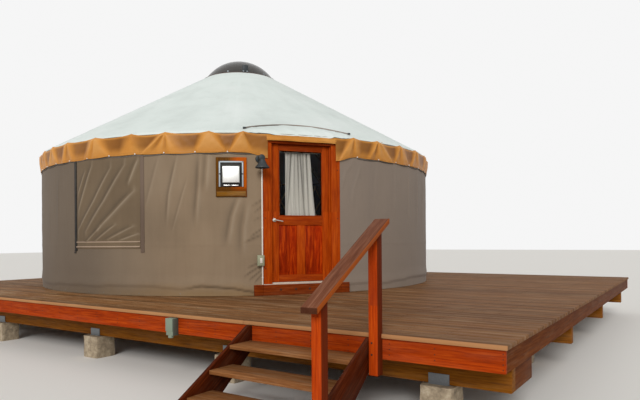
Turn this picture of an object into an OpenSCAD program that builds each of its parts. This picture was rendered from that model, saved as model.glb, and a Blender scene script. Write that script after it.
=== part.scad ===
// Yurt on a raised timber deck, with a front stair and one handrail.
// Millimetres, +Z up. The origin is on the ground, on the yurt's axis. +X runs along the front edge
// of the deck towards its right corner, +Y runs to the back.

/* [Deck] */
// Length of the deck along its front edge
deck_len = 11180; // [9500:10:14000]
// Depth of the deck from front to back
deck_depth = 9200; // [8800:10:12000]
// Height of the deck boards above the ground
deck_height = 752; // [720:1:1100]
// How far the right deck edge lies from the yurt's axis
deck_right = 6880; // [6000:10:8000]
// How far the front deck edge lies from the yurt's axis
deck_front = 4900; // [4600:10:6000]
// Thickness of the deck boards
board_t = 38; // [25:1:50]
// How far the boards reach past the fascia
nosing = 20; // [5:1:40]
// Height of the fascia and of the joists
joist_h = 184; // [140:1:240]
// Thickness of the fascia and of the joists
joist_t = 38; // [30:1:60]
// Distance from joist to joist
joist_pitch = 406; // [300:1:610]
// Height of the girders
girder_h = 235; // [180:1:300]
// Thickness of the girders
girder_t = 114; // [76:1:160]
// Distance from the front deck edge to the first girder
girder_set_back = 380; // [250:10:600]
// Distance from girder to girder
girder_pitch = 2670; // [2000:10:2700]
// Distance from the girder ends to the deck's side edges
girder_end_gap = 70; // [40:1:300]
// Length of the boards that close the girder line at its ends
end_board_len = 570; // [300:10:900]
// Side of the square stone piers
pier_side = 320; // [200:5:400]
// Distance from the outer piers to the deck's side edges
pier_set_in = 690; // [400:10:1000]
// Thickness of the steel saddle plates on the piers
saddle_t = 8; // [5:1:12]
// Height of the steel side plates that hold the girders
saddle_h = 90; // [60:1:150]
// Length of the steel saddle plates along the girder
saddle_len = 190; // [120:1:300]

/* [Stair] */
// Clear width between the stringers
stair_w = 1320; // [900:10:1600]
// Distance from the right deck corner to the stair's clear width
stair_from_corner = 1190; // [1150:10:2500]
// Distance from tread to tread, measured level
going = 280; // [250:1:320]
// Depth of a tread
tread_depth = 320; // [285:1:340]
// Thickness of a tread
tread_t = 38; // [30:1:50]
// Thickness of a stringer
stringer_t = 38; // [30:1:60]
// Height of the stringer board, measured square to its slope
stringer_h = 286; // [240:1:320]

/* [Handrail] */
// Side of the square rail posts
post_side = 89; // [70:1:120]
// Height of the rail's top above the deck, at the upper post
rail_height = 915; // [850:5:1100]
// Clear distance between the two posts
post_gap = 791; // [700:5:1000]
// Width of the rail
rail_w = 146; // [90:1:160]
// Thickness of the rail
rail_t = 38; // [30:1:50]
// How far the rail runs past the posts
rail_past = 95; // [20:1:200]
// Slope of the rail in degrees
rail_slope = 30; // [26:0.5:36]
// How far the upper post reaches below the joists
post_below = 130; // [20:5:200]

/* [Yurt floor and wall] */
// Outer radius of the wall cover
wall_r = 3880; // [3500:10:4100]
// Thickness of the wall cover with its insulation
wall_t = 12; // [8:1:25]
// Height of the yurt's floor above the deck
floor_rise = 160; // [120:1:260]
// Thickness of the yurt's floor boards
floor_t = 28; // [18:1:40]
// Thickness of the rim board and of the sleepers below the floor
sleeper_t = 38; // [30:1:50]
// Distance from sleeper to sleeper
sleeper_pitch = 610; // [400:10:800]
// Height of the eave above the deck
eave_h = 2423; // [2380:1:2700]
// Number of lattice slats that lean each way
slat_count = 60; // [50:1:66]
// Width of a slat
slat_w = 38; // [30:1:50]
// Thickness of a slat
slat_t = 20; // [14:1:30]
// Angle round the wall that a slat covers from foot to top
slat_turn = 19; // [14:1:24]
// Width of the slit between neighbouring lattice panels
panel_slit = 4; // [2:1:10]

/* [Roof] */
// Slope of the roof in degrees
roof_slope = 29.8; // [26:0.1:34]
// Thickness of the roof cover with its insulation
roof_t = 10; // [6:1:20]
// How far the roof cover reaches past the wall cover
eave_reach = 10; // [9:1:20]
// Width of the slit between the gores of the roof cover
gore_slit = 2; // [1:1:5]
// Number of rafters
rafter_count = 40; // [30:1:44]
// Direction of the first rafter, in degrees from +X
rafter_dir = -3; // [-4:0.5:4]
// Width of a rafter
rafter_w = 38; // [30:1:50]
// Height of a rafter, measured square to its slope
rafter_h = 89; // [70:1:120]
// Diameter of the tension cable
cable_d = 10; // [6:1:14]
// Height of the valance
valance_h = 312; // [250:1:380]
// Thickness of the valance
valance_t = 8; // [3:1:8]
// How far the valance's ends hang over the door frame
valance_lap = 80; // [0:5:120]
// Radius of the opening in the crown of the roof
crown_r = 775; // [650:5:950]
// Width of the wooden crown ring
crown_ring_w = 70; // [50:1:120]
// Height of the crown ring
crown_ring_h = 100; // [80:1:160]
// Distance from the edge of the crown to the dome's rim
dome_in = 40; // [38:1:44]
// Height of the dome above its curb
dome_h = 410; // [300:5:500]
// Thickness of the dome
dome_t = 6; // [4:1:12]
// Height of the curb below the dome
curb_h = 15; // [10:1:60]
// Width of the curb
curb_w = 50; // [45:1:60]
// Direction of the dome's opener, in degrees from +X
opener_dir = -41; // [-90:1:0]
// Width of the dome's opener
opener_w = 115; // [60:5:160]
// Height of the dome's opener above the curb
opener_h = 145; // [80:5:200]

/* [Door] */
// Direction of the door, in degrees from +X
door_dir = -35.1; // [-50:0.1:-20]
// Width of the door leaf
leaf_w = 950; // [760:5:980]
// Height of the door leaf
leaf_h = 2070; // [1900:1:2100]
// Thickness of the door leaf
leaf_t = 44; // [35:1:50]
// Gap round the door leaf
leaf_gap = 6; // [5:0.5:10]
// Width of the door frame's side posts
jamb_w = 145; // [90:1:160]
// Depth of the door frame
frame_depth = 110; // [95:1:160]
// Height of the head of the door frame
head_h = 38; // [30:1:60]
// How far the door frame's face lies inside the round of the wall cover
frame_set_back = 45; // [20:1:48]
// Thickness of the sill board below the door
sill_t = 80; // [60:1:120]
// How far the sill stands out from the door frame
sill_proud = 30; // [15:1:60]
// Thickness of the threshold
threshold_t = 25; // [15:1:40]
// Width of the blocks at the foot of the frame
foot_block_w = 140; // [50:1:150]
// Width of the stop strip that the leaf closes against
stop_w = 16; // [8:1:20]
// Thickness of the stop strip
stop_t = 20; // [12:1:30]
// Width of the door's stiles
stile_w = 121; // [100:1:150]
// Height of the glass
glass_h = 1003; // [700:1:1050]
// Height of the top rail above the glass
top_rail_h = 78; // [70:1:150]
// Height of the lock rail below the glass
lock_rail_h = 137; // [110:1:200]
// Height of the bottom rail
bottom_rail_h = 104; // [90:1:260]
// Width of the upright between the two lower panels
mullion_w = 130; // [80:1:150]
// How deep the lower panels are set back on each face
panel_sink = 12; // [6:1:16]
// Thickness of the glass
glass_t = 10; // [5:1:20]
// Height of the lever handles above the bottom of the leaf
lever_height = 930; // [850:1:1000]
// Length of a lever handle
lever_len = 130; // [90:1:150]
// Distance from the leaf's edge to the lever's spindle
lever_backset = 50; // [45:1:90]
// Diameter of the lever's spindle
spindle_d = 18; // [12:1:22]
// Diameter of the hinge knuckles
knuckle_d = 14; // [10:1:18]
// Length of a hinge
hinge_len = 100; // [70:1:130]
// Width of the curtain
curtain_w = 430; // [300:10:600]
// Depth of the curtain's folds
curtain_t = 24; // [14:1:34]

/* [Fittings on the wall] */
// Direction of the window flap's middle, in degrees from +X
flap_dir = -81.45; // [-95:0.05:-75]
// Angle that the window flap covers
flap_turn = 19.5; // [14:0.5:24]
// Height of the flap's lower edge above the deck
flap_low = 705; // [500:5:1000]
// Thickness of the window flap
flap_t = 4; // [2:1:6]
// Angle that each strip beside the flap covers
strip_turn = 0.9; // [0.5:0.1:2]
// Direction of the vent board, in degrees from +X
vent_dir = -51.1; // [-60:0.1:-50]
// Width of the vent board
vent_board_w = 450; // [400:5:550]
// Height of the vent board
vent_board_h = 580; // [500:5:650]
// Thickness of the vent board
vent_board_t = 19; // [12:1:30]
// Height of the vent board's lower edge above the deck
vent_board_low = 1460; // [1000:5:1480]
// Width of the vent cap
vent_cap_w = 358; // [300:1:390]
// Height of the vent cap
vent_cap_h = 375; // [300:1:400]
// How far the vent cap stands out
vent_cap_t = 85; // [50:1:120]
// Diameter of the lamp's shade
lamp_d = 205; // [150:5:220]
// Height of the lamp's rim above the deck
lamp_low = 1870; // [1700:5:1900]
// Diameter of the conduit
conduit_d = 22; // [16:1:30]
// Width of the switch box
switch_w = 105; // [60:1:120]
// Height of the switch box
switch_h = 160; // [100:1:200]
// Thickness of the switch box
switch_t = 42; // [25:1:60]
// Height of the switch box's lower edge above the deck
switch_low = 440; // [300:5:900]
// Width of the rain strip on the roof above the door
diverter_span = 1740; // [1300:10:2000]
// Height of the rain strip above the roof cover
diverter_h = 22; // [12:1:40]
// Thickness of the rain strip
diverter_t = 24; // [12:1:40]
// How far the rain strip's ends reach towards the eave from its middle
diverter_bow = 75; // [40:5:150]
// Distance from the wall's round to the middle of the rain strip
diverter_in = 280; // [200:10:500]

/* [Junction box] */
// Distance from the right deck corner to the junction box's left side
jb_from_corner = 3690; // [3400:10:5000]
// Width of the junction box
jb_w = 115; // [90:5:200]
// Depth of the junction box
jb_depth = 80; // [50:5:120]
// Height of the junction box
jb_h = 190; // [120:5:250]

/* [Hidden] */
$fn = 96;

// Running clearance between faces that are made apart
fit_gap = 0.5;
// Gap between faces that rest on each other
seat_gap = 0.1;
// Gap between round faces, more than the height of one of their flats
round_gap = 0.8;
// Small extra that lets one cut run past another face
cut_over = 5;
// How far a cut through the wall reaches past it
cut_reach = 200;

// Deck, from its edges and heights
deck_left = deck_right - deck_len;
deck_back = deck_depth - deck_front;
deck_z = deck_height;
joist_top = deck_z - board_t;
joist_low = joist_top - joist_h;
girder_low = joist_low - girder_h;
fascia_y = -deck_front + nosing;
fascia_back_y = deck_back - nosing;
fascia_left_x = deck_left + nosing;
fascia_right_x = deck_right - nosing;
girder_rows = [for (y = [-deck_front + girder_set_back : girder_pitch : deck_back - girder_t]) y];
girder_left = deck_left + girder_end_gap;
girder_right = deck_right - girder_end_gap;
pier_left = deck_left + pier_set_in;
pier_right = deck_right - pier_set_in;
pier_bays = 4;
pier_top = girder_low - saddle_t;
// The two girders on either side of the yurt's axis
row_before = max([for (y = girder_rows) if (y < -girder_t) y]);
row_behind = min([for (y = girder_rows) if (y > girder_t) y]);

// Stair, four equal risers from the ground to the deck
riser = deck_height / 4;
stair_right = deck_right - stair_from_corner;
stair_left = stair_right - stair_w;
stair_slope = riser / going;
slope_angle = atan(stair_slope);
// Length of the level stretch at the top of a stringer, and how far its back hangs below the fascia
stringer_flat = 60;
// How far a stringer runs past the lowest tread
stringer_past = 20;

// Handrail, bolted to the outside of the fascia
post_pad = 9;
post_x = stair_right + stringer_t + post_pad;
upper_post_y = fascia_y - post_side;
lower_post_y = upper_post_y - post_gap - post_side;
rail_mid_x = post_x + post_side / 2;
rail_y = upper_post_y + post_side / 2;
rail_drop = rail_t / cos(rail_slope);

// Yurt, from its floor up
floor_z = deck_z + floor_rise;
eave_z = deck_z + eave_h;
wall_in = wall_r - wall_t;
eave_r = wall_r + eave_reach;
roof_drop = roof_t / cos(roof_slope);
rafter_drop = rafter_h / cos(roof_slope);
rise = tan(roof_slope);
crown_z = eave_z + (eave_r - crown_r) * rise;
cable_in = 30;
cable_r = wall_in - cable_in;
rafter_in = 10;
rafter_foot_r = wall_in - rafter_in;
wall_top = eave_z - roof_drop - cut_over;
slat_gap = slat_w / 2 * tan(slat_turn / 2) + round_gap;
slat_r = wall_in - slat_t / 2 - slat_gap;
rafter_top = function(r) eave_z + (eave_r - r) * rise - roof_drop - fit_gap;
rafter_low = function(r) rafter_top(r) - rafter_drop;
// The lattice ends below the rafters' feet, with room for the round cable on top of it
cable_room = cable_d / 2 * (1 + 1 / cos(roof_slope));
lattice_top = min(rafter_low(rafter_foot_r), rafter_low(cable_r) - cable_room) - seat_gap;
lattice_h = lattice_top - floor_z;
curb_z = crown_z - roof_drop;
curb_top = crown_z + curb_h;

// Door, in its own frame: +X out through the doorway, +Y to the right seen from outside
frame_face = wall_r - frame_set_back;
frame_back = frame_face - frame_depth;
opening_w = leaf_w + 2 * leaf_gap;
frame_w = opening_w + 2 * jamb_w;
half_frame = frame_w / 2;
// Radius of the frame's outer front corners
frame_corner_r = sqrt(frame_face * frame_face + half_frame * half_frame);
half_open = opening_w / 2;
leaf_low = floor_z + threshold_t + leaf_gap;
leaf_top = leaf_low + leaf_h;
head_low = leaf_top + leaf_gap;
frame_top = head_low + head_h;
leaf_back = frame_back + 2;
leaf_face = leaf_back + leaf_t;
sill_face = frame_face + sill_proud;
sill_back = frame_face - sill_t;
glass_top = leaf_top - top_rail_h;
glass_low = glass_top - glass_h;
lock_low = glass_low - lock_rail_h;
panel_low = leaf_low + bottom_rail_h;
pane_w = leaf_w - 2 * stile_w;
hinge_x = leaf_back - knuckle_d / 2 - 2;
hinge_y = half_open - leaf_gap / 2;
lever_y = -leaf_w / 2 + lever_backset;
lever_z = leaf_low + lever_height;
door_half_turn = asin(half_frame / wall_r);

// Wall cover and lattice, from one side of the door round to the other
wall_sections = 5;
section_turn = (360 - 2 * door_half_turn) / wall_sections;
wall_start = door_dir + door_half_turn;
panels = 2;
panel_turn = section_turn / panels;
gores = 10;

module place_at(dir) rotate([0, 0, dir]) children();

// A flat wedge of the plane between two directions, for cutting round pieces into sections
module wedge(from, to, reach) {
    steps = 6;
    polygon(concat([[0, 0]],
        [for (i = [0 : steps]) let (a = from + (to - from) * i / steps) reach * [cos(a), sin(a)]]));
}

// A ring piece between two directions
module ring_part(outer, inner, z, h, from, to) {
    translate([0, 0, z]) rotate([0, 0, from]) rotate_extrude(angle = to - from, $fn = 192)
        translate([inner, 0]) square([outer - inner, h]);
}

module box(x, y, z) {
    translate([x[0], y[0], z[0]]) cube([x[1] - x[0], y[1] - y[0], z[1] - z[0]]);
}

// The nosing is cut out round the upper rail post
module deck_floor() {
    color("#a06f45") difference() {
        box([deck_left, deck_right], [-deck_front, deck_back], [joist_top, deck_z]);
        box([post_x - fit_gap, post_x + post_side + fit_gap], [-deck_front - cut_over, fascia_y + seat_gap],
            [joist_top - cut_over, deck_z + cut_over]);
    }
}

module front_fascia() {
    color("#b1480f") box([fascia_left_x, fascia_right_x], [fascia_y, fascia_y + joist_t],
        [joist_low, joist_top]);
}

module back_fascia() {
    color("#b1480f") box([fascia_left_x, fascia_right_x], [fascia_back_y - joist_t, fascia_back_y],
        [joist_low, joist_top]);
}

module side_fascias() {
    color("#8a4512")
        for (x = [fascia_left_x, fascia_right_x - joist_t])
            box([x, x + joist_t], [fascia_y + joist_t, fascia_back_y - joist_t], [joist_low, joist_top]);
}

module joists() {
    color("#7c5028")
        for (x = [fascia_left_x + joist_pitch : joist_pitch : fascia_right_x - joist_t - joist_pitch / 2])
            box([x, x + joist_t], [fascia_y + joist_t, fascia_back_y - joist_t], [joist_low, joist_top]);
}

module girders() {
    color("#93501c")
        for (y = girder_rows)
            box([girder_left, girder_right], [y, y + girder_t], [girder_low, joist_low]);
}

module girder_end_boards() {
    color("#93501c")
        for (x = [girder_left, girder_right - joist_t])
            box([x, x + joist_t], [girder_rows[0] + girder_t, girder_rows[0] + girder_t + end_board_len],
                [girder_low, joist_low]);
}

module centre_beam() {
    color("#7c5028")
        box([-girder_t / 2, girder_t / 2], [row_before + girder_t, row_behind], [girder_low, joist_low]);
}

module pier(x, y, top) {
    box([x - pier_side / 2, x + pier_side / 2], [y - pier_side / 2, y + pier_side / 2], [0, top]);
}

module each_pier() {
    for (y = girder_rows, i = [0 : pier_bays])
        translate([pier_left + (pier_right - pier_left) * i / pier_bays, y + girder_t / 2, 0]) children();
}

module piers() {
    color("#a79b87") each_pier() pier(0, 0, pier_top);
}

module centre_pier() {
    color("#a79b87") pier(0, 0, girder_low);
}

module pier_saddles() {
    side = saddle_t;
    color("#7d8285") each_pier() difference() {
        box([-saddle_len / 2, saddle_len / 2], [-girder_t / 2 - side, girder_t / 2 + side],
            [pier_top, girder_low + saddle_h]);
        box([-saddle_len, saddle_len], [-girder_t / 2, girder_t / 2],
            [girder_low, girder_low + 2 * saddle_h]);
    }
}

// Side outline of a stringer: it starts at the fascia and comes down to the ground
module stringer_outline() {
    reach = 3 * going + tread_depth + stringer_past;
    drop = stringer_h / cos(slope_angle);
    polygon([
        [fascia_y, joist_top],
        [fascia_y - stringer_flat, joist_top],
        [fascia_y - reach, max(joist_top - (reach - stringer_flat) * stair_slope, stringer_flat)],
        [fascia_y - reach, 0],
        [fascia_y - (joist_top - drop) / stair_slope - stringer_flat, 0],
        [fascia_y, joist_low - stringer_flat]]);
}

module stair_stringers() {
    color("#7b3b0b")
        for (x = [stair_left - stringer_t, stair_right])
            translate([x, 0, 0]) rotate([90, 0, 90]) linear_extrude(stringer_t) stringer_outline();
}

module stair_treads() {
    color("#8c6039")
        for (i = [1 : 3]) {
            front = -deck_front - i * going - (tread_depth - going);
            top = deck_z - i * riser;
            box([stair_left, stair_right], [front, front + tread_depth], [top - tread_t, top]);
        }
}

// Height of the rail's upper face at a place along the stair
function rail_top(y) = deck_z + rail_height - (rail_y - y) * tan(rail_slope);

module rail_posts() {
    under = function(y) rail_top(y) - rail_drop - seat_gap;
    color("#a53005")
        for (p = [[upper_post_y, joist_low - post_below], [lower_post_y, 0]])
            translate([post_x, 0, 0]) rotate([90, 0, 90]) linear_extrude(post_side)
                polygon([[p[0], p[1]], [p[0] + post_side, p[1]], [p[0] + post_side, under(p[0] + post_side)],
                    [p[0], under(p[0])]]);
}

module handrail() {
    low_y = lower_post_y - rail_past;
    high_y = fascia_y + rail_past;
    color("#953002")
        translate([rail_mid_x - rail_w / 2, 0, 0]) rotate([90, 0, 90]) linear_extrude(rail_w)
            polygon([[low_y, rail_top(low_y)], [high_y, rail_top(high_y)],
                [high_y, rail_top(high_y) - rail_drop], [low_y, rail_top(low_y) - rail_drop]]);
}

module junction_box() {
    x = deck_right - jb_from_corner;
    top = joist_top - cut_over;
    color("#6c746c") box([x, x + jb_w], [fascia_y - jb_depth, fascia_y], [top - jb_h, top]);
}

// What the door frame and its sill take out of the round floor and wall
module sill_cut(low, high) {
    place_at(door_dir) box([sill_back, wall_r + cut_reach], [-half_frame, half_frame], [low, high]);
}

module frame_cut(low, high) {
    place_at(door_dir) box([frame_back, wall_r + cut_reach], [-half_frame, half_frame], [low, high]);
}

module floor_boards() {
    color("#9a7a52") difference() {
        translate([0, 0, floor_z - floor_t]) cylinder(h = floor_t, r = wall_in - round_gap, $fn = 192);
        sill_cut(deck_z, floor_z + cut_over);
    }
}

module floor_rim() {
    color("#8b6a45") difference() {
        ring_part(wall_in - round_gap, wall_in - sleeper_t, deck_z, floor_rise - floor_t, 0, 360);
        place_at(door_dir) box([sill_back - sleeper_t, wall_r + cut_reach], [-half_frame, half_frame],
            [deck_z - cut_over, floor_z]);
    }
}

module floor_sleepers() {
    end_gap = 20;
    shortest = 200;
    // The sleepers stop this far short of the rim on the door's side
    door_side_gap = 120;
    reach = wall_in - sleeper_t - end_gap;
    rows = floor((reach - shortest) / sleeper_pitch);
    color("#7c5028") difference() {
        for (i = [-rows : rows]) {
            y = i * sleeper_pitch;
            half = sqrt(reach * reach - pow(abs(y) + sleeper_t, 2));
            right = min(half, reach - door_side_gap);
            box([-half, right], [y - sleeper_t / 2, y + sleeper_t / 2], [deck_z, floor_z - floor_t]);
        }
        place_at(door_dir) box([sill_back - sleeper_t, wall_r + cut_reach],
            [-half_frame - sleeper_t, half_frame + sleeper_t], [deck_z - cut_over, floor_z]);
    }
}

module wall_cover(i) {
    // The first and last sections run on a little, for the door frame's cut to trim
    extra_turn = 0.4;
    seam_turn = asin(seat_gap / wall_in);
    color("#85745f") difference() {
        ring_part(wall_r, wall_in, deck_z, wall_top - deck_z,
            wall_start + i * section_turn + (i == 0 ? -extra_turn : seam_turn),
            wall_start + (i + 1) * section_turn + (i == wall_sections - 1 ? extra_turn : -seam_turn));
        frame_cut(deck_z - cut_over, wall_top + cut_over);
    }
}

module wall_over_door() {
    color("#85745f") intersection() {
        ring_part(wall_r, wall_in, frame_top, wall_top - frame_top, door_dir - door_half_turn - 1,
            door_dir + door_half_turn + 1);
        frame_cut(frame_top, wall_top);
    }
}

// One slat, leaning to the left or the right, as a straight chord between two points of the wall
module slat(dir, lean) {
    run = 2 * slat_r * sin(slat_turn / 2);
    tilt = atan(run / lattice_h);
    mid_r = slat_r * cos(slat_turn / 2);
    place_at(dir) translate([mid_r, 0, (floor_z + lattice_top) / 2]) rotate([lean * tilt, 0, 0])
        cube([slat_t, slat_w, 2 * lattice_h], center = true);
}

module lattice_panel(from, to) {
    step = 360 / slat_count;
    first = floor((from - slat_turn / 2) / step) - 1;
    last = ceil((to + slat_turn / 2) / step) + 1;
    slit = asin(panel_slit / 2 / slat_r);
    intersection() {
        union() for (n = [first : last], lean = [-1, 1]) slat(n * step, lean);
        translate([0, 0, floor_z]) linear_extrude(lattice_h) wedge(from + slit, to - slit, wall_r + cut_reach);
    }
}

module lattice(i) {
    edge = asin((half_frame + fit_gap) / (slat_r * cos(slat_turn / 2) - slat_t)) - door_half_turn;
    color("#b08a5a")
        for (p = [0 : panels - 1]) {
            from = wall_start + i * section_turn + p * panel_turn;
            lattice_panel(from + (i == 0 && p == 0 ? edge : 0),
                from + panel_turn - (i == wall_sections - 1 && p == panels - 1 ? edge : 0));
        }
}

module tension_cable() {
    color("#8a8f92")
        translate([0, 0, lattice_top + cable_d / 2]) rotate_extrude($fn = 192)
            translate([cable_r, 0]) circle(d = cable_d, $fn = 24);
}

module rafters() {
    foot_r = rafter_foot_r;
    color("#b08a5a")
        for (i = [0 : rafter_count - 1])
            place_at(rafter_dir + i * 360 / rafter_count) translate([0, rafter_w / 2, 0]) rotate([90, 0, 0])
                linear_extrude(rafter_w)
                    polygon([[foot_r, rafter_top(foot_r)], [foot_r, rafter_low(foot_r)],
                        [crown_r, rafter_low(crown_r)], [crown_r, rafter_top(crown_r)]]);
}

module crown_ring() {
    outer = crown_r - fit_gap;
    color("#a47848") ring_part(outer, outer - crown_ring_w, curb_z - crown_ring_h,
        crown_ring_h - seat_gap, 0, 360);
}

module roof_profile() {
    polygon([[eave_r, eave_z - roof_drop], [eave_r, eave_z], [crown_r, crown_z],
        [crown_r, crown_z - roof_drop]]);
}

module roof_cover() {
    turn = 360 / gores;
    slit = asin(gore_slit / crown_r);
    first = 3;
    color("#e6ebe6")
        for (i = [0 : gores - 1])
            rotate([0, 0, i * turn + slit / 2 + first])
                rotate_extrude(angle = turn - slit, $fn = 192) roof_profile();
}

module valance() {
    low = eave_z - valance_h;
    inner = max(eave_r - valance_t, frame_corner_r + 2 * fit_gap);
    valance_over_head = 15;
    color("#b07a36") difference() {
        rotate([0, 0, door_dir]) rotate_extrude($fn = 192)
            polygon([[inner, low], [eave_r, low], [eave_r, rafter_top(eave_r)], [inner, rafter_top(inner)]]);
        place_at(door_dir) box([frame_back, wall_r + cut_reach],
            [-half_frame + valance_lap, half_frame - valance_lap], [deck_z, frame_top - valance_over_head]);
    }
}

module dome_curb() {
    outer = crown_r - seat_gap;
    color("#4a3026") ring_part(outer, crown_r - curb_w, curb_z, curb_top - curb_z, 0, 360);
}

module dome() {
    rim_r = crown_r - dome_in;
    ball_r = (rim_r * rim_r + dome_h * dome_h) / (2 * dome_h);
    base = curb_top + seat_gap;
    color("#5f5549") rotate_extrude($fn = 192) intersection() {
        translate([0, base + dome_h - ball_r]) difference() {
            circle(r = ball_r, $fn = 256);
            circle(r = ball_r - dome_t, $fn = 256);
        }
        translate([0, base]) square([rim_r, dome_h + cut_over]);
    }
}

module dome_opener() {
    behind_dome = 2;
    color("#33302c") place_at(opener_dir)
        box([crown_r - dome_in + behind_dome, crown_r], [-opener_w / 2, opener_w / 2],
            [curb_top + seat_gap, curb_top + opener_h]);
}

// A low bow on the roof over the door: its middle lies highest, its ends reach towards the eave
module rain_diverter() {
    base = seat_gap;
    half = diverter_span / 2;
    mid_x = wall_r - diverter_in;
    end_x = mid_x + diverter_bow;
    bow_r = (half * half + diverter_bow * diverter_bow) / (2 * diverter_bow);
    tall = (eave_r - mid_x) * rise + 2 * diverter_h;
    color("#f0f0ea") intersection() {
        rotate_extrude($fn = 192)
            polygon([[eave_r, eave_z + base], [eave_r, eave_z + diverter_h],
                [crown_r, crown_z + diverter_h], [crown_r, crown_z + base]]);
        place_at(door_dir) intersection() {
            translate([mid_x + bow_r, 0, eave_z]) difference() {
                cylinder(h = tall, r = bow_r + diverter_t / 2, $fn = 192);
                translate([0, 0, -cut_over])
                    cylinder(h = tall + 2 * cut_over, r = bow_r - diverter_t / 2, $fn = 192);
            }
            box([mid_x - diverter_t, end_x], [-half, half], [eave_z, eave_z + tall]);
        }
    }
}

module door_sill() {
    color("#8d2d03") place_at(door_dir)
        box([sill_back, sill_face], [-half_frame, half_frame], [deck_z, floor_z]);
}

module door_foot_blocks() {
    back = sqrt(wall_r * wall_r - half_frame * half_frame);
    color("#8d2d03") place_at(door_dir)
        for (side = [-1, 1])
            box([back, sill_face], side > 0 ? [half_frame, half_frame + foot_block_w]
                : [-half_frame - foot_block_w, -half_frame], [deck_z, floor_z]);
}

module door_jambs() {
    color("#a03b06") place_at(door_dir)
        for (y = [[-half_frame, -half_open], [half_open, half_frame]])
            box([frame_back, frame_face], y, [floor_z, head_low]);
}

module door_head() {
    color("#a03b06") place_at(door_dir)
        box([frame_back, frame_face], [-half_frame, half_frame], [head_low, frame_top]);
}

module door_threshold() {
    color("#c8b394") place_at(door_dir)
        box([frame_back, frame_face - 20], [-half_open, half_open], [floor_z, floor_z + threshold_t]);
}

module door_stops() {
    stop_x = [leaf_face + leaf_gap, leaf_face + leaf_gap + stop_t];
    color("#a03b06") place_at(door_dir) {
        for (y = [[-half_open, -half_open + leaf_gap + stop_w], [half_open - leaf_gap - stop_w, half_open]])
            box(stop_x, y, [floor_z + threshold_t, head_low]);
    }
}

module pane_outline() {
    translate([-pane_w / 2, glass_low]) square([pane_w, glass_h]);
}

// Turns a drawing of the door's face upright: the drawing's X is the width, its Y is the height
module upright(from, to) {
    translate([from, 0, 0]) rotate([90, 0, 90]) linear_extrude(to - from) children();
}

module door_leaf() {
    half_panel = (pane_w - mullion_w) / 2;
    color("#8d2d03") place_at(door_dir) difference() {
        box([leaf_back, leaf_face], [-leaf_w / 2, leaf_w / 2], [leaf_low, leaf_top]);
        upright(leaf_back - cut_over, leaf_face + cut_over) pane_outline();
        for (x = [leaf_back - cut_over, leaf_face - panel_sink])
            upright(x, x + panel_sink + cut_over)
                for (y = [-pane_w / 2, mullion_w / 2])
                    translate([y, panel_low]) square([half_panel, lock_low - panel_low]);
        translate([leaf_back - cut_over, lever_y, lever_z]) rotate([0, 90, 0])
            cylinder(h = leaf_t + 2 * cut_over, d = spindle_d + 4 * fit_gap);
    }
}

module door_glass() {
    middle = (leaf_back + leaf_face) / 2;
    color("#9fb0ad") place_at(door_dir) upright(middle, middle + glass_t) pane_outline();
}

rod_behind = 32;
rod_below = 25;
rod_past = 30;
rod_d = 12;
rod_x = leaf_back - rod_behind;
rod_z = glass_top - rod_below;
rod_half = pane_w / 2 + rod_past;

module curtain_rod() {
    arm = 10;
    color("#c9c4b8") place_at(door_dir) {
        translate([rod_x, -rod_half, rod_z]) rotate([-90, 0, 0]) cylinder(h = 2 * rod_half, d = rod_d);
        for (y = [-rod_half, rod_half - arm])
            box([rod_x, leaf_back], [y, y + arm], [rod_z - arm / 2, rod_z + arm / 2]);
    }
}

module door_curtain() {
    curtain_in = 60;
    curtain_past = 30;
    left = -pane_w / 2 + curtain_in;
    low = glass_low - curtain_past;
    color("#cfcac0") place_at(door_dir)
        box([rod_x - curtain_t / 2, rod_x + curtain_t / 2], [left, left + curtain_w],
            [low, rod_z - rod_d / 2]);
}

module door_levers() {
    bend = 55;
    rose_t = 8;
    rose_d = 56;
    grip_d = 20;
    color("#b9bcbc") place_at(door_dir) translate([0, lever_y, lever_z]) {
        translate([leaf_back - bend, 0, 0]) rotate([0, 90, 0]) cylinder(h = leaf_t + 2 * bend, d = spindle_d);
        for (x = [leaf_back - bend, leaf_face + bend])
            translate([x, 0, 0]) {
                rotate([0, 90, 0]) cylinder(h = grip_d, d = grip_d, center = true);
                rotate([-90, 0, 0]) cylinder(h = lever_len, d = grip_d);
            }
        for (x = [leaf_back - rose_t - fit_gap, leaf_face + fit_gap])
            translate([x, 0, 0]) rotate([0, 90, 0]) cylinder(h = rose_t, d = rose_d);
    }
}

module door_hinges() {
    end_gap = 180;
    plate_w = 45;
    web_w = 12;
    edge = hinge_y - leaf_gap / 2 - 1;
    heights = [leaf_low + end_gap, leaf_low + (leaf_h - hinge_len) / 2, leaf_top - end_gap - hinge_len];
    color("#8d8f8f") place_at(door_dir)
        for (z = heights) {
            translate([hinge_x, hinge_y, z]) cylinder(h = hinge_len, d = knuckle_d);
            box([leaf_back - 2, leaf_back], [hinge_y - plate_w, edge], [z, z + hinge_len]);
            box([hinge_x, leaf_back], [hinge_y - web_w, edge], [z, z + hinge_len]);
        }
}

// The flap and its strips end just below the valance
flap_top = eave_z - valance_h - 4;

module window_flap() {
    low = deck_z + flap_low;
    color("#7d6c58") ring_part(wall_r + flap_t, wall_r + round_gap, low, flap_top - low,
        flap_dir - flap_turn / 2, flap_dir + flap_turn / 2);
}

module window_strips() {
    below_flap = 60;
    turn_gap = 0.05;
    strip_proud = 2;
    low = deck_z + flap_low - below_flap;
    half = flap_turn / 2 + turn_gap;
    color("#6d5c4a")
        for (from = [flap_dir - half - strip_turn, flap_dir + half])
            ring_part(wall_r + flap_t + strip_proud, wall_r + round_gap, low, flap_top - low, from,
                from + strip_turn);
}

vent_low = deck_z + vent_board_low;
vent_face = wall_r + vent_board_t;

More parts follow.
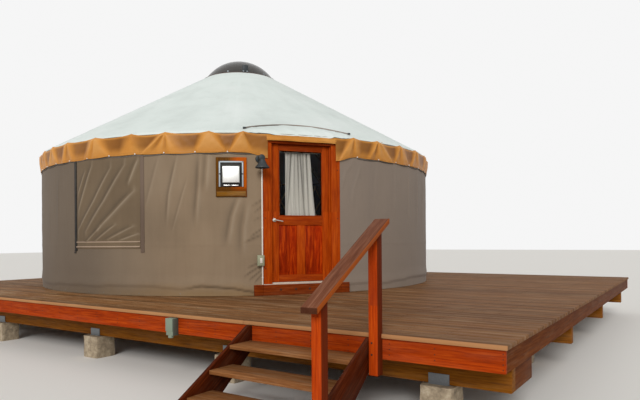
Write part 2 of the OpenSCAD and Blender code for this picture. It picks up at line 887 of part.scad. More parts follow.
module vent_board() {
    color("#a0692c") place_at(vent_dir)
        box([wall_r + fit_gap, vent_face], [-vent_board_w / 2, vent_board_w / 2],
            [vent_low, vent_low + vent_board_h]);
}

module vent_cap() {
    share_below = 0.71;
    low = vent_low + (vent_board_h - vent_cap_h) * share_below;
    bevel = 75;
    rim = 25;
    half = vent_cap_w / 2;
    color("#c9cac6") place_at(vent_dir) translate([0, 0, low]) linear_extrude(vent_cap_h)
        polygon([[vent_face, -half], [vent_face + rim, -half], [vent_face + vent_cap_t, bevel - half],
            [vent_face + vent_cap_t, half - bevel], [vent_face + rim, half], [vent_face, half]]);
}

lamp_beside = 40;
lamp_y = -half_frame - lamp_beside;
lamp_plate_w = 90;
lamp_wall_x = sqrt(wall_r * wall_r - half_frame * half_frame);

module wall_lamp() {
    rim_z = deck_z + lamp_low;
    rim_r = lamp_d / 2;
    shade_gap = 45;
    axis_x = lamp_wall_x + rim_r + shade_gap;
    plate_x = [lamp_wall_x + seat_gap, lamp_wall_x + 22];
    color("#3a3c3b") place_at(door_dir) {
        // Bell-shaped shade, open below
        translate([axis_x, lamp_y, rim_z]) rotate_extrude()
            polygon([[0, 100], [0, 215], [25, 215], [45, 185], [60, 140], [rim_r - 8, 60], [rim_r, 0],
                [rim_r - 6, 0], [rim_r - 30, 70], [20, 100]]);
        // Arm and wall plate
        box([plate_x[0], axis_x - 30], [lamp_y - 15, lamp_y + 15], [rim_z + 165, rim_z + 195]);
        box(plate_x, [-half_frame - lamp_plate_w, -half_frame], [rim_z + 125, rim_z + 235]);
    }
}

conduit_out = 18;
conduit_x = frame_face + conduit_out;
conduit_y = -half_frame - conduit_d / 2;

module conduit() {
    past_rim = 120;
    color("#d8d6cc") place_at(door_dir)
        translate([conduit_x, conduit_y, floor_z])
            cylinder(h = lamp_low - floor_rise + past_rim, d = conduit_d);
}

module switch_box() {
    share_left = 0.82;
    low = deck_z + switch_low;
    left = conduit_y - switch_w * share_left;
    back = conduit_x + conduit_d / 2;
    color("#a9a588") place_at(door_dir)
        box([back, back + switch_t], [left, left + switch_w], [low, low + switch_h]);
}

deck_floor();
front_fascia();
back_fascia();
side_fascias();
joists();
girders();
girder_end_boards();
centre_beam();
piers();
centre_pier();
pier_saddles();
stair_stringers();
stair_treads();
rail_posts();
handrail();
junction_box();
floor_boards();
floor_rim();
floor_sleepers();
wall_cover(0);  // wall_cover_1
wall_cover(1);  // wall_cover_2
wall_cover(2);  // wall_cover_3
wall_cover(3);  // wall_cover_4
wall_cover(4);  // wall_cover_5
wall_over_door();
lattice(0);  // lattice_1
lattice(1);  // lattice_2
lattice(2);  // lattice_3
lattice(3);  // lattice_4
lattice(4);  // lattice_5
tension_cable();
rafters();
crown_ring();
roof_cover();
valance();
dome_curb();
dome();
dome_opener();
rain_diverter();
door_sill();
door_foot_blocks();
door_jambs();
door_head();
door_threshold();
door_stops();
door_leaf();
door_glass();
door_curtain();
curtain_rod();
door_levers();
door_hinges();
window_flap();
window_strips();
vent_board();
vent_cap();
wall_lamp();
conduit();
switch_box();
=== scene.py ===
import math
import bpy
import numpy as np
from mathutils import Matrix, Vector


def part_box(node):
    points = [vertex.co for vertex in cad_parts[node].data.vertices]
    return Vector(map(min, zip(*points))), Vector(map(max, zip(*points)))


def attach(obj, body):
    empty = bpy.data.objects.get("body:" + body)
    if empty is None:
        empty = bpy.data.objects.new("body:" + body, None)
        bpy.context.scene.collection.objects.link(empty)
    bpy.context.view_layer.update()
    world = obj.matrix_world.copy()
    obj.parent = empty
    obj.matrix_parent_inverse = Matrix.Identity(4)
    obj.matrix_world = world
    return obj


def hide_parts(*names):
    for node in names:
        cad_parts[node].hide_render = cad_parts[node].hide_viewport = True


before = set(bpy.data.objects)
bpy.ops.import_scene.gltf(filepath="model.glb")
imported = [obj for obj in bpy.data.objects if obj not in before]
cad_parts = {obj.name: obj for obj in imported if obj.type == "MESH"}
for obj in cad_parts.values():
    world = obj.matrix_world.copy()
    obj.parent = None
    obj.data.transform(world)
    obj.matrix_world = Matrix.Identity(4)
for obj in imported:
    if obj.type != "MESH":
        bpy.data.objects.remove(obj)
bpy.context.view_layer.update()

print("frame loaded:", len(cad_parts), "nodes")

# Sizes that several pieces share, in metres, the same as the part's own
yurt = {
    "wallRadius": 3.880,
    "eaveRadius": 3.890,
    "deckTop": 0.752,
    "floorTop": 0.912,
    "eaveTop": 3.175,
    "roofSlope": 29.8,       # degrees
    "crownRadius": 0.775,
    "valanceDrop": 0.312,
    "rafters": 40,
    "rafterTurn": -3.0,      # degrees from +X to the first rafter
    "peakShifts": {-93: -94.7, -84: -84.1, -75: -73.75, -66: -65.5, -57: -55.8, -48: -48.5, -21: -22.0,
                   -12: -14.25, -3: -5.05, 6: 4.58},
    "tiePitch": 7.0009,      # degrees between the cord ties on the lower edge of the valance
    "tieTurn": -20.9,        # degrees from +X to the first tie
}
door = {
    "direction": -35.1,      # degrees from +X
    "halfFrame": 0.626,
    "halfOpen": 0.481,
    "face": 3.835,           # front of the frame
    "back": 3.725,
    "leafBack": 3.727,
    "leafFace": 3.771,
    "leafLow": 0.943,
    "leafTop": 3.013,
    "halfLeaf": 0.475,
    "stile": 0.121,
    "glassTop": 2.935,
    "glassLow": 1.932,
    "lockLow": 1.795,
    "panelLow": 1.047,
    "halfMullion": 0.065,
    "frameTop": 3.057,
    "jambTop": 3.019,
    "threshold": 0.025,
    "sillFace": 3.865,
    "sillBolts": (-0.36, -0.12, 0.1, 0.36),
    "plugSide": 0.585,
    "plugHeights": (1.15, 1.9, 2.65),
    "bead": 0.014,
}
vent = {
    "direction": -51.1,
    "board": (0.450, 0.580),
    "boardLow": 2.212,
    "boardThickness": 0.019,
    "cap": (0.358, 0.375),
    "capLow": 2.3576,
    "rimHalf": 0.011,        # half the width of the rim's bars
    "rimDepth": 0.022,
    "hoodBack": (0.300, 0.334),
    "hoodFront": (0.250, 0.250),
    "hoodDepth": 0.070,
    "plateHalf": 0.116,
    "plateLow": 0.057,
    "slotHalf": 0.050,
}
doorTurn = math.radians(door["direction"])


# Camera, first because the photograph's view decides what has to be fine

camera = {
    "place": (8.0596, -9.2953, 1.5553),
    "turn": 34.72,           # degrees from +Y towards -X
    "roll": -0.42,
    "lens": 32.01,           # for a 36 mm sensor
    "shift": (0.0265, 0.0641),
}
bpy.ops.object.select_all(action="DESELECT")
bpy.ops.object.camera_add(location=camera["place"])
photoCamera = bpy.context.object
photoCamera.name = "photoCamera"
photoCamera.rotation_euler = (math.radians(90), math.radians(-camera["roll"]), math.radians(camera["turn"]))
photoCamera.data.lens = camera["lens"]
photoCamera.data.shift_x, photoCamera.data.shift_y = camera["shift"]
bpy.context.scene.camera = photoCamera


# Making and shaping pieces

def selectOnly(*pieces):
    if bpy.context.mode != "OBJECT":
        bpy.ops.object.mode_set(mode="OBJECT")
    bpy.ops.object.select_all(action="DESELECT")
    for piece in pieces:
        piece.select_set(True)
    bpy.context.view_layer.objects.active = pieces[0]


def applyPlace(piece):
    selectOnly(piece)
    bpy.ops.object.transform_apply(location=True, rotation=True, scale=True)
    return piece


def turnAboutAxis(piece, angle):
    piece.data.transform(Matrix.Rotation(angle, 4, "Z"))
    return piece


def smooth(piece, degrees=35):
    selectOnly(piece)
    bpy.ops.object.shade_smooth_by_angle(angle=math.radians(degrees))
    return piece


def bevelAll(piece, width, steps=2, degrees=30):
    selectOnly(piece)
    bpy.ops.object.modifier_add(type="BEVEL")
    bevel = piece.modifiers[-1]
    bevel.width = width
    bevel.segments = steps
    bevel.limit_method = "ANGLE"
    bevel.angle_limit = math.radians(degrees)
    bpy.ops.object.modifier_apply(modifier=bevel.name)
    return smooth(piece)


def newPiece(name, mesh):
    piece = bpy.data.objects.new(name, mesh)
    bpy.context.collection.objects.link(piece)
    return piece


def editWhole(piece, *steps):
    # Each step is an edit-mode operator with its settings
    selectOnly(piece)
    bpy.ops.object.mode_set(mode="EDIT")
    bpy.ops.mesh.select_all(action="SELECT")
    for operator, settings in steps:
        operator(**settings)
    bpy.ops.object.mode_set(mode="OBJECT")
    return piece


mergeClose = (bpy.ops.mesh.remove_doubles, {"threshold": 0.00002})
faceOutward = (bpy.ops.mesh.normals_make_consistent, {"inside": False})


def makeCube(low, high):
    low, high = Vector(low), Vector(high)
    bpy.ops.object.select_all(action="DESELECT")
    bpy.ops.mesh.primitive_cube_add(size=1, location=(low + high) / 2, scale=high - low)
    return applyPlace(bpy.context.object)


def makeBoard(name, low, high, bevel=0.003, turn=0.0):
    board = makeCube(low, high)
    board.name = name
    return turnAboutAxis(bevelAll(board, bevel), turn)


def makeRound(name, centre, radius, depth, axis=(0, 0, 1), sides=24, bevel=0.001):
    direction = Vector(axis).to_track_quat("Z", "Y").to_euler()
    bpy.ops.object.select_all(action="DESELECT")
    bpy.ops.mesh.primitive_cylinder_add(vertices=sides, radius=radius, depth=depth, location=centre,
                                        rotation=direction)
    piece = applyPlace(bpy.context.object)
    piece.name = name
    return bevelAll(piece, bevel)


def spinProfile(name, profile, centre, steps=48):
    mesh = bpy.data.meshes.new(name)
    points = [(r, 0, z) for r, z in profile]
    mesh.from_pydata(points, [(i, i + 1) for i in range(len(points) - 1)], [])
    piece = editWhole(newPiece(name, mesh), (bpy.ops.mesh.spin, {
        "steps": steps, "angle": 2 * math.pi, "center": (0, 0, 0), "axis": (0, 0, 1)}),
        (bpy.ops.mesh.select_all, {"action": "SELECT"}), mergeClose, faceOutward)
    piece.data.transform(Matrix.Translation(centre))
    return smooth(piece, 40)


def joinPieces(name, pieces):
    selectOnly(*pieces)
    bpy.ops.object.join()
    joined = bpy.context.object
    joined.name = name
    return joined


def joinTurned(name, pieces, turn):
    return turnAboutAxis(joinPieces(name, pieces), turn)


def dressNode(node, name, bevel=0.003):
    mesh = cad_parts[node].data.copy()
    mesh.materials.clear()
    piece = editWhole(newPiece(name, mesh), mergeClose,
                      (bpy.ops.mesh.dissolve_limited, {"angle_limit": math.radians(1)}))
    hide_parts(node)
    return bevelAll(piece, bevel)


def meshPoints(mesh):
    points = np.empty(len(mesh.vertices) * 3)
    mesh.vertices.foreach_get("co", points)
    return points.reshape(-1, 3)


def stackCopies(name, template, copies):
    # One mesh from many moved copies of the template's points, each with the template's faces
    faces = [tuple(face.vertices) for face in template.data.polygons]
    count = len(template.data.vertices)
    allFaces = [tuple(i + number * count for i in face) for number in range(len(copies)) for face in faces]
    joined = bpy.data.meshes.new(name)
    joined.from_pydata(np.vstack(copies).tolist(), [], allFaces)
    piece = newPiece(name, joined)
    bpy.data.objects.remove(template)
    return smooth(piece)


def copyInto(name, template, moves):
    points = meshPoints(template.data)
    return stackCopies(name, template, [points @ np.array(turn).T + np.array(place) for place, turn in moves])


def gridSheet(name, columns, rows, shape):
    bpy.ops.object.select_all(action="DESELECT")
    bpy.ops.mesh.primitive_grid_add(x_subdivisions=columns, y_subdivisions=rows, size=1)
    sheet = bpy.context.object
    sheet.name = name
    mesh = sheet.data
    flat = meshPoints(mesh)
    x, y, z, *paintedShading = shape(flat[:, 0] + 0.5, flat[:, 1] + 0.5)
    mesh.vertices.foreach_set("co", np.stack([x, y, z], axis=1).ravel())
    # An optional fourth result holds painted shade and painted highlight at each point, for the material to
    # read
    if paintedShading:
        shadeLayer = mesh.attributes.new("paintedFoldShade", "FLOAT", "POINT")
        shadeLayer.data.foreach_set("value", np.clip(paintedShading[0], -1, 1).astype(np.float32))
    mesh.update()
    selectOnly(sheet)
    bpy.ops.object.shade_smooth()
    return sheet


def setMaterial(piece, material):
    piece.data.materials.clear()
    piece.data.materials.append(material)


def finishPiece(piece, material, slot, *nodes, body="structure"):
    if nodes:
        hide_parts(*nodes)
    setMaterial(piece, material)
    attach(piece, body)
    return piece


def aroundZ(angle):
    c, s = math.cos(angle), math.sin(angle)
    return [[c, -s, 0], [s, c, 0], [0, 0, 1]]


stay = [[1, 0, 0], [0, 1, 0], [0, 0, 1]]
outward = (1, 0, 0)


def ripples(seed, s, t, size, count=7):
    draw = np.random.default_rng(seed)
    total = np.zeros_like(s)
    for _ in range(count):
        angle = draw.uniform(0, math.pi)
        length = size * draw.uniform(0.6, 1.8)
        across = s * math.cos(angle) + t * math.sin(angle)
        total += np.sin(2 * math.pi * across / length + draw.uniform(0, 6.28))
    return total / count


def wrapTurn(angle):
    return (angle + math.pi) % (2 * math.pi) - math.pi


def aroundAxis(radius, angle, z):
    return radius * np.cos(angle), radius * np.sin(angle), z


def atDoor(x, y, z):
    c, s = math.cos(doorTurn), math.sin(doorTurn)
    return x * c - y * s, x * s + y * c, z


def fold(distance, width):
    return np.exp(-(distance / width) ** 2)


def crest(distance, width):
    return np.exp(-np.sqrt(distance ** 2 + (0.2 * width) ** 2) / width)


def crease(angle, height, points, width, depth, level=False, aside=0.0):
    turns, rises = np.radians(np.array(points)[:, 0]) % (2 * math.pi), np.array(points)[:, 1]
    angle = angle % (2 * math.pi)
    if level:
        order = np.argsort(turns)
        away = height - np.interp(angle, turns[order], rises[order])
        along, low, high = [turn * yurt["wallRadius"] for turn in (angle, turns.min(), turns.max())]
    else:
        order = np.argsort(rises)
        away = (angle - np.interp(height, rises[order], turns[order])) * yurt["wallRadius"]
        along, low, high = height, rises.min(), rises.max()
    soft = 0.3 * (high - low)
    return depth * crest(away - aside, width) * between(along, low - 0.3 * soft, low + soft, high - soft,
                                                        high + 0.3 * soft)


def blendStep(value, low, high):
    t = np.clip((value - low) / (high - low), 0, 1)
    return t * t * (3 - 2 * t)


def between(value, rise, risen, fall, fallen):
    return blendStep(value, rise, risen) * (1 - blendStep(value, fall, fallen))


# Materials

def linearColor(hexText):
    values = [int(hexText[i:i + 2], 16) / 255 for i in (1, 3, 5)]
    return tuple(v / 12.92 if v <= 0.04045 else ((v + 0.055) / 1.055) ** 2.4 for v in values) + (1.0,)


def addNode(tree, kind, inputs=None, **settings):
    node = tree.nodes.new("ShaderNode" + kind)
    for name, value in settings.items():
        setattr(node, name, value)
    for name, value in (inputs or {}).items():
        if isinstance(value, bpy.types.NodeSocket):
            tree.links.new(value, node.inputs[name])
        else:
            node.inputs[name].default_value = value
    return node


def startMaterial(name, **fixed):
    material = bpy.data.materials.new(name)
    material.use_nodes = True
    shader = material.node_tree.nodes["Principled BSDF"]
    for socket, value in fixed.items():
        shader.inputs[socket.replace("_", " ")].default_value = value
    return material, material.node_tree, shader


def colorRamp(tree, factor, stops):
    ramp = addNode(tree, "ValToRGB", {"Fac": factor})
    elements = ramp.color_ramp.elements
    while len(elements) < len(stops):
        elements.new(0.5)
    for element, (place, color) in zip(elements, stops):
        element.position = place
        element.color = linearColor(color)
    return ramp.outputs["Color"]


def mixColor(tree, factor, a, b):
    return addNode(tree, "Mix", {0: factor, 6: a, 7: b}, data_type="RGBA").outputs[2]


def mathNode(tree, operation, a, b=0.0):
    return addNode(tree, "Math", {0: a, 1: b}, operation=operation).outputs[0]


def objectPlace(tree):
    return addNode(tree, "TexCoord").outputs["Object"]


def scalePlace(tree, place, scale):
    return addNode(tree, "Mapping", {"Vector": place, "Scale": scale}).outputs["Vector"]


def makeNoise(tree, place, scale, detail=2.0, roughness=0.5, distortion=0.0):
    return addNode(tree, "TexNoise", {"Vector": place, "Scale": scale, "Detail": detail, "Roughness": roughness,
                                      "Distortion": distortion}).outputs["Fac"]


def spread(tree, value, start, end, low=0.0, high=1.0):
    # Maps low to start and high to end
    return addNode(tree, "MapRange", {"Value": value, "From Min": low, "From Max": high, "To Min": start,
                                      "To Max": end}).outputs["Result"]


def setRoughness(tree, shader, value, roughness, below, above):
    tree.links.new(spread(tree, value, roughness - below, roughness + above), shader.inputs["Roughness"])


def linkBump(tree, shader, height, distance, strength=0.5):
    bump = addNode(tree, "Bump", {"Height": height, "Distance": distance, "Strength": strength})
    tree.links.new(bump.outputs["Normal"], shader.inputs["Normal"])


def woodMaterial(name, dark, middle, light, turn=(0, 0, 0), course=(0.146, 1), wear="#a08d74", wearAmount=0.25,
                 roughness=0.6, knots=0.35, gloss=0.05, tones=(0.80, 1.16), grainScale=22):
    material, tree, shader = startMaterial(name, Specular_IOR_Level=gloss)
    turned = addNode(tree, "Mapping", {"Vector": objectPlace(tree),
                                       "Rotation": [math.radians(a) for a in turn]})
    apart = addNode(tree, "SeparateXYZ", {"Vector": turned.outputs["Vector"]})
    # Each board of a course has its own tone and its own run of grain
    row = mathNode(tree, "FLOOR", mathNode(tree, "DIVIDE", apart.outputs["XYZ"[course[1]]], course[0]))
    tone = addNode(tree, "TexWhiteNoise", {"W": row}, noise_dimensions="1D")
    shifted = addNode(tree, "VectorMath", {0: turned.outputs["Vector"], 1: tone.outputs["Color"]},
                      operation="ADD").outputs[0]
    grain = makeNoise(tree, scalePlace(tree, shifted, (0.9, grainScale, grainScale)), 3.0, 7.0, 0.62, 0.35)
    fibre = makeNoise(tree, scalePlace(tree, shifted, (4, 160, 160)), 2.5, 4.0)
    color = colorRamp(tree, grain, [(0.32, dark), (0.50, middle), (0.70, light)])
    fibred = mixColor(tree, 0.25, color, colorRamp(tree, fibre, [(0.35, dark), (0.65, light)]))
    toned = addNode(tree, "HueSaturation", {"Color": fibred,
                                            "Value": spread(tree, tone.outputs["Value"], *tones)})
    # Knots: sparse dark ovals, longer along the grain
    knot = addNode(tree, "TexVoronoi", {"Vector": scalePlace(tree, shifted, (1.3, 6.5, 6.5)), "Scale": 1.0})
    knotMask = spread(tree, knot.outputs["Distance"], knots, 0.0, 0.05, 0.11)
    knotted = mixColor(tree, knotMask, toned.outputs["Color"], linearColor("#2a1408"))
    # Stain worn thin in patches that run along the grain
    patch = makeNoise(tree, scalePlace(tree, shifted, (0.8, 5, 5)), 1.6, 6.0, 0.7)
    worn = spread(tree, patch, 0.0, wearAmount, 0.48, 0.72)
    tree.links.new(mixColor(tree, worn, knotted, linearColor(wear)), shader.inputs["Base Color"])
    setRoughness(tree, shader, fibre, roughness, 0.1, 0.15)
    linkBump(tree, shader, mathNode(tree, "ADD", grain, mathNode(tree, "MULTIPLY", fibre, 0.5)), 0.0015)
    return material


def tintAcross(material, axis, low, high, tint, amount=1.0):
    # A tint that comes in across the place along one axis, from nothing at low to the amount at high
    tree = material.node_tree
    color = tree.nodes["Principled BSDF"].inputs["Base Color"]
    apart = addNode(tree, "SeparateXYZ", {"Vector": objectPlace(tree)})
    mask = spread(tree, apart.outputs[axis], 0.0, amount, low, high)
    tree.links.new(mixColor(tree, mask, color.links[0].from_socket, linearColor(tint)), color)


def paintFoldShading(tree, color, tint, amount, paintedHighlight):
    # Painted shade and highlight: cloth deep in a fold is painted darker, by the sheet's own measure of its
    # folds, and the crest beside it, where the measure is below nought, is painted paler as a highlight.
    depth = addNode(tree, "Attribute", attribute_name="paintedFoldShade").outputs["Fac"]
    color = mixColor(tree, mathNode(tree, "MULTIPLY", depth, amount), color, linearColor(tint))
    return mixColor(tree, mathNode(tree, "MULTIPLY", depth, -0.45), color, linearColor(paintedHighlight))


def canvasMaterial(name, base, shade, light, weave=0.006, sheen=0.1, hem=None, paintedFoldShade=None, paintedShadeAmount=0.5):
    material, tree, shader = startMaterial(name, Roughness=0.85, Specular_IOR_Level=0.15, Sheen_Weight=sheen)
    place = objectPlace(tree)
    cloud = makeNoise(tree, place, 0.7, 5.0)
    streak = makeNoise(tree, scalePlace(tree, place, (6.0, 6.0, 0.7)), 1.4, 6.0)
    mixed = mixColor(tree, 0.3, colorRamp(tree, cloud, [(0.30, shade), (0.52, base), (0.75, light)]),
                     colorRamp(tree, streak, [(0.25, shade), (0.55, base), (0.85, light)]))
    if hem:
        # Dust and splashes near the deck
        apart = addNode(tree, "SeparateXYZ", {"Vector": place})
        uneven = mathNode(tree, "MULTIPLY", makeNoise(tree, place, 2.3, 6.0), 0.18)
        level = mathNode(tree, "ADD", apart.outputs["Z"], uneven)
        mixed = mixColor(tree, spread(tree, level, 0.0, 0.55, 1.05, 0.88), mixed, linearColor(hem))
    # Painted shade in the folds, painted highlight on their crests
    if paintedFoldShade:
        mixed = paintFoldShading(tree, mixed, paintedFoldShade, paintedShadeAmount, "#cdbda6")
    tree.links.new(mixed, shader.inputs["Base Color"])
    # Threads every few millimetres, coarser than real so that they show
    warp = addNode(tree, "TexWave", {"Vector": place, "Scale": 0.314 / weave, "Distortion": 0.6},
                   bands_direction="Z")
    weft = makeNoise(tree, place, 1 / weave)
    linkBump(tree, shader, mathNode(tree, "ADD", warp.outputs["Fac"], weft), 0.0008, 0.25)
    return material


def metalMaterial(name, color, roughness=0.35, brushed=0.0, metallic=1.0, spots=0.12):
    # Fine grain, drawn out upwards where the metal is brushed, with duller spots
    material, tree, shader = startMaterial(name, Metallic=metallic)
    grain = makeNoise(tree, scalePlace(tree, objectPlace(tree), (1, 1, 1 + 40 * brushed)), 60.0, 5.0)
    base = linearColor(color)
    darker = tuple(v * (1 - spots * 2) for v in base[:3]) + (1.0,)
    tree.links.new(mixColor(tree, grain, base, darker), shader.inputs["Base Color"])
    setRoughness(tree, shader, grain, roughness, 0.08, 0.12)
    linkBump(tree, shader, grain, 0.0003, 0.2)
    return material


def plasticMaterial(name, color, roughness=0.5, dustAmount=0.25):
    # A pebbled skin with grey dust in patches
    material, tree, shader = startMaterial(name, Specular_IOR_Level=0.4)
    place = objectPlace(tree)
    dirt = makeNoise(tree, place, 9.0, 6.0)
    amount = spread(tree, dirt, 0.0, dustAmount, 0.4, 0.75)
    tree.links.new(mixColor(tree, amount, linearColor(color), linearColor("#8f8878")),
                   shader.inputs["Base Color"])
    setRoughness(tree, shader, dirt, roughness, 0.1, 0.15)
    linkBump(tree, shader, makeNoise(tree, place, 260.0), 0.0003, 0.3)
    return material


def vinylMaterial(name, base, shade, light, roughness=0.5, gloss=0.3, dirt="#8d8a80", dirtAmount=0.12,
                  paintedFoldShade=None, paintedShadeAmount=0.5):
    # A soft sheen over faint clouds of colour, with stains in patches
    material, tree, shader = startMaterial(name, Specular_IOR_Level=gloss, Sheen_Weight=0.03)
    place = objectPlace(tree)
    cloud = makeNoise(tree, place, 1.1, 6.0, 0.6)
    stain = spread(tree, makeNoise(tree, place, 3.7, 8.0, 0.7), 0.0, dirtAmount, 0.52, 0.8)
    color = mixColor(tree, stain, colorRamp(tree, cloud, [(0.32, shade), (0.5, base), (0.72, light)]),
                     linearColor(dirt))
    # Painted shade in the folds, painted highlight on their crests
    if paintedFoldShade:
        color = paintFoldShading(tree, color, paintedFoldShade, paintedShadeAmount, "#e6b877")
    tree.links.new(color, shader.inputs["Base Color"])
    setRoughness(tree, shader, cloud, roughness, 0.08, 0.12)
    linkBump(tree, shader, makeNoise(tree, place, 130.0, 3.0), 0.0008, 0.3)
    return material


def stoneMaterial(name):
    # Pitted grit, tan with grey hollows
    material, tree, shader = startMaterial(name, Roughness=0.9)
    grit = makeNoise(tree, objectPlace(tree), 14.0, 9.0, 0.7)
    tree.links.new(colorRamp(tree, grit, [(0.3, "#6f6250"), (0.52, "#a4937a"), (0.75, "#c9bba2")]),
                   shader.inputs["Base Color"])
    linkBump(tree, shader, grit, 0.01, 0.7)
    return material


def clearMaterial(name, color, roughness, opacity, transmission):
    # A film of dust makes the reflections uneven
    material, tree, shader = startMaterial(name, Transmission_Weight=transmission, IOR=1.45, Alpha=opacity,
                                           Base_Color=linearColor(color))
    setRoughness(tree, shader, makeNoise(tree, objectPlace(tree), 7.0, 4.0), roughness, 0.0, 0.06)
    return material


deckWood = woodMaterial("stainedDeckSoftwood", "#44280f", "#805530", "#ab8156", wear="#b59a78", wearAmount=0.6,
                        tones=(0.62, 1.2))
# Painted shade: the deck's top is darker towards the right
tintAcross(deckWood, "X", 1.0, 5.5, "#66422e", 0.35)
tintAcross(deckWood, "Y", -4.885, -4.893, "#c08a5c", 0.7)
fasciaWood = woodMaterial("redStainedFir", "#741f02", "#a33504", "#c2500f", course=(0.6, 2), wearAmount=0.06)
# Painted shade: a darker copy of the red fir, for the side fascias and the girder end boards
shadedSideFasciaWood = woodMaterial("redFirAlongYPaintedShade", "#481f07", "#622f0b", "#7a4216", turn=(0, 0, 90),
                              course=(0.6, 2), wearAmount=0.15)
girderWood = woodMaterial("brownStainedFir", "#5a3009", "#8a5010", "#a66a20", course=(0.24, 2), wearAmount=0.12)
joistWood = woodMaterial("roughSawnFir", "#5d3d22", "#7c5530", "#97714a", turn=(0, 0, 90), course=(0.406, 0))
stringerWood = woodMaterial("stainedStringerFir", "#260a01", "#431503", "#63290c", turn=(-33.9, 0, 90),
                            course=(0.9, 2), wearAmount=0.10)
treadWood = woodMaterial("wornTreadFir", "#5b3014", "#85532c", "#a3744a", course=(0.146, 1), wear="#a58c70",
                         wearAmount=0.45)
postWood = woodMaterial("redStainedPost", "#8c2603", "#b03a07", "#cc5410", turn=(0, 90, 0), course=(1.0, 0),
                        wearAmount=0.04)
# Painted shade: the right faces are painted darker
tintAcross(postWood, "X", 5.822, 5.825, "#4c1c08", 0.85)
railWood = woodMaterial("redStainedRail", "#4c2414", "#6e402b", "#8e614a", turn=(-30, 0, 90), course=(1.0, 2),
                        wear="#80563f", wearAmount=0.18, knots=0.25)
tintAcross(railWood, "X", 5.848, 5.853, "#a04c12", 0.8)
tintAcross(railWood, "Y", -5.938, -5.943, "#3c1c0e", 0.8)
cedar = {"roughness": 0.5, "gloss": 0.05}
doorUpright = woodMaterial("varnishedCedarUpright", "#8a2c03", "#ac3f06", "#c8590f", turn=(0, 90, 0),
                           course=(2.0, 0), wearAmount=0.03, knots=0.15, grainScale=12, **cedar)
doorLevel = woodMaterial("varnishedCedarLevel", "#7c2403", "#963606", "#b04c0f", turn=(0, 0, -54.9),
                         course=(2.0, 2), wearAmount=0.03, knots=0.15, grainScale=12, **cedar)
panelWood = woodMaterial("varnishedCedarPanel", "#5a0a00", "#981f02", "#dc5409", turn=(0, 90, 0),
                         course=(0.11, 1), wearAmount=0.0, knots=0.1, grainScale=9, **cedar)
sillWood = woodMaterial("stainedSillFir", "#551a03", "#7e2e05", "#a24c14", turn=(0, 0, -54.9), course=(0.5, 2),
                        wearAmount=0.08)
paleWood = woodMaterial("planedPine", "#9c7544", "#c19a63", "#d9b988", turn=(0, 90, 0), course=(0.4, 0),
                        wearAmount=0.1)
floorWood = woodMaterial("oiledFloorPine", "#7c5b35", "#9a7748", "#b9965f", course=(0.12, 1), wearAmount=0.15)
ventWood = woodMaterial("weatheredVentBoard", "#3c2008", "#603a0d", "#7e5013", turn=(0, 90, 0), course=(0.6, 2),
                        wear="#8a5a12", wearAmount=0.5)
tintAcross(ventWood, "X", 2.42, 2.52, "#c85a06", 0.75)
tintAcross(ventWood, "Z", 2.36, 2.32, "#5a3408", 0.7)
ledgeWood = woodMaterial("weatheredVentLedge", "#4c2c06", "#704708", "#93621a", turn=(0, 0, -38.9),
                         course=(0.6, 2))
# Painted shade in the folds of the wall, flap, curtain and valance, with a painted highlight on the crests of
# the wall, flap and valance
wallCanvas = canvasMaterial("coatedWallCanvas", "#8d7962", "#7b6954", "#98856e", hem="#8f7148", paintedFoldShade="#4d4237",
                            paintedShadeAmount=0.65)
# Painted shade: the wall is darker towards its left side
tintAcross(wallCanvas, "X", 1.9, 0.3, "#62574c", 0.75)
tintAcross(wallCanvas, "X", 2.9, 3.4, "#8a7e74", 0.75)
flapCanvas = canvasMaterial("coatedFlapCanvas", "#6f5e4a", "#61523f", "#7c6a53", paintedFoldShade="#3b3229", paintedShadeAmount=0.65)
stripCanvas = canvasMaterial("coatedStripCanvas", "#6c5b4e", "#5d4e43", "#7b6a5c")
railCanvas = canvasMaterial("coatedRailCanvas", "#a08a76", "#8c7868", "#b39d88")
curtainCloth = canvasMaterial("thinCottonCurtain", "#f0ecdf", "#e2dccd", "#f8f5ec", weave=0.004, sheen=0.2,
                              paintedFoldShade="#332f29", paintedShadeAmount=0.9)
roofVinyl = vinylMaterial("whiteRoofVinyl", "#dce4df", "#d3dbd6", "#e3e9e5", roughness=0.6, gloss=0.15)
# Painted shade: the roof is darker towards its left side
tintAcross(roofVinyl, "X", -0.4, -2.6, "#a2a59f", 0.35)
valanceVinyl = vinylMaterial("ochreValanceVinyl", "#c98739", "#bb792c", "#d4964a", roughness=0.42, gloss=0.22,
                             dirt="#8a5a20", dirtAmount=0.2, paintedFoldShade="#6b3d08", paintedShadeAmount=0.85)
# Painted shade: the rain strip is coloured grey to draw the shadow line along it
dividerVinyl = vinylMaterial("rainStripShadeVinyl", "#8d8177", "#6f645b", "#a39890")
pierStone = stoneMaterial("roughLimestone")
zincSteel = metalMaterial("galvanisedSteel", "#8d9296", 0.5)
ventSteel = metalMaterial("brushedStainless", "#f3f2ee", 0.34, brushed=0.4, spots=0.02)
# Painted shade: the hood's steel is a darker, duller copy of the vent's steel
shadedHoodSteel = metalMaterial("hoodSteelPaintedShade", "#b4b5ae", 0.45, brushed=0.4, metallic=0.25, spots=0.03)
rimSteel = metalMaterial("dullRimSteel", "#a9b3b9", 0.5, brushed=0.3, metallic=0.2, spots=0.05)
# Painted shade: the hood's lower part is painted near black
tintAcross(shadedHoodSteel, "Z", 2.425, 2.405, "#211c16", 0.93)
leverMetal = metalMaterial("satinNickel", "#d6d4cc", 0.30, spots=0.04)
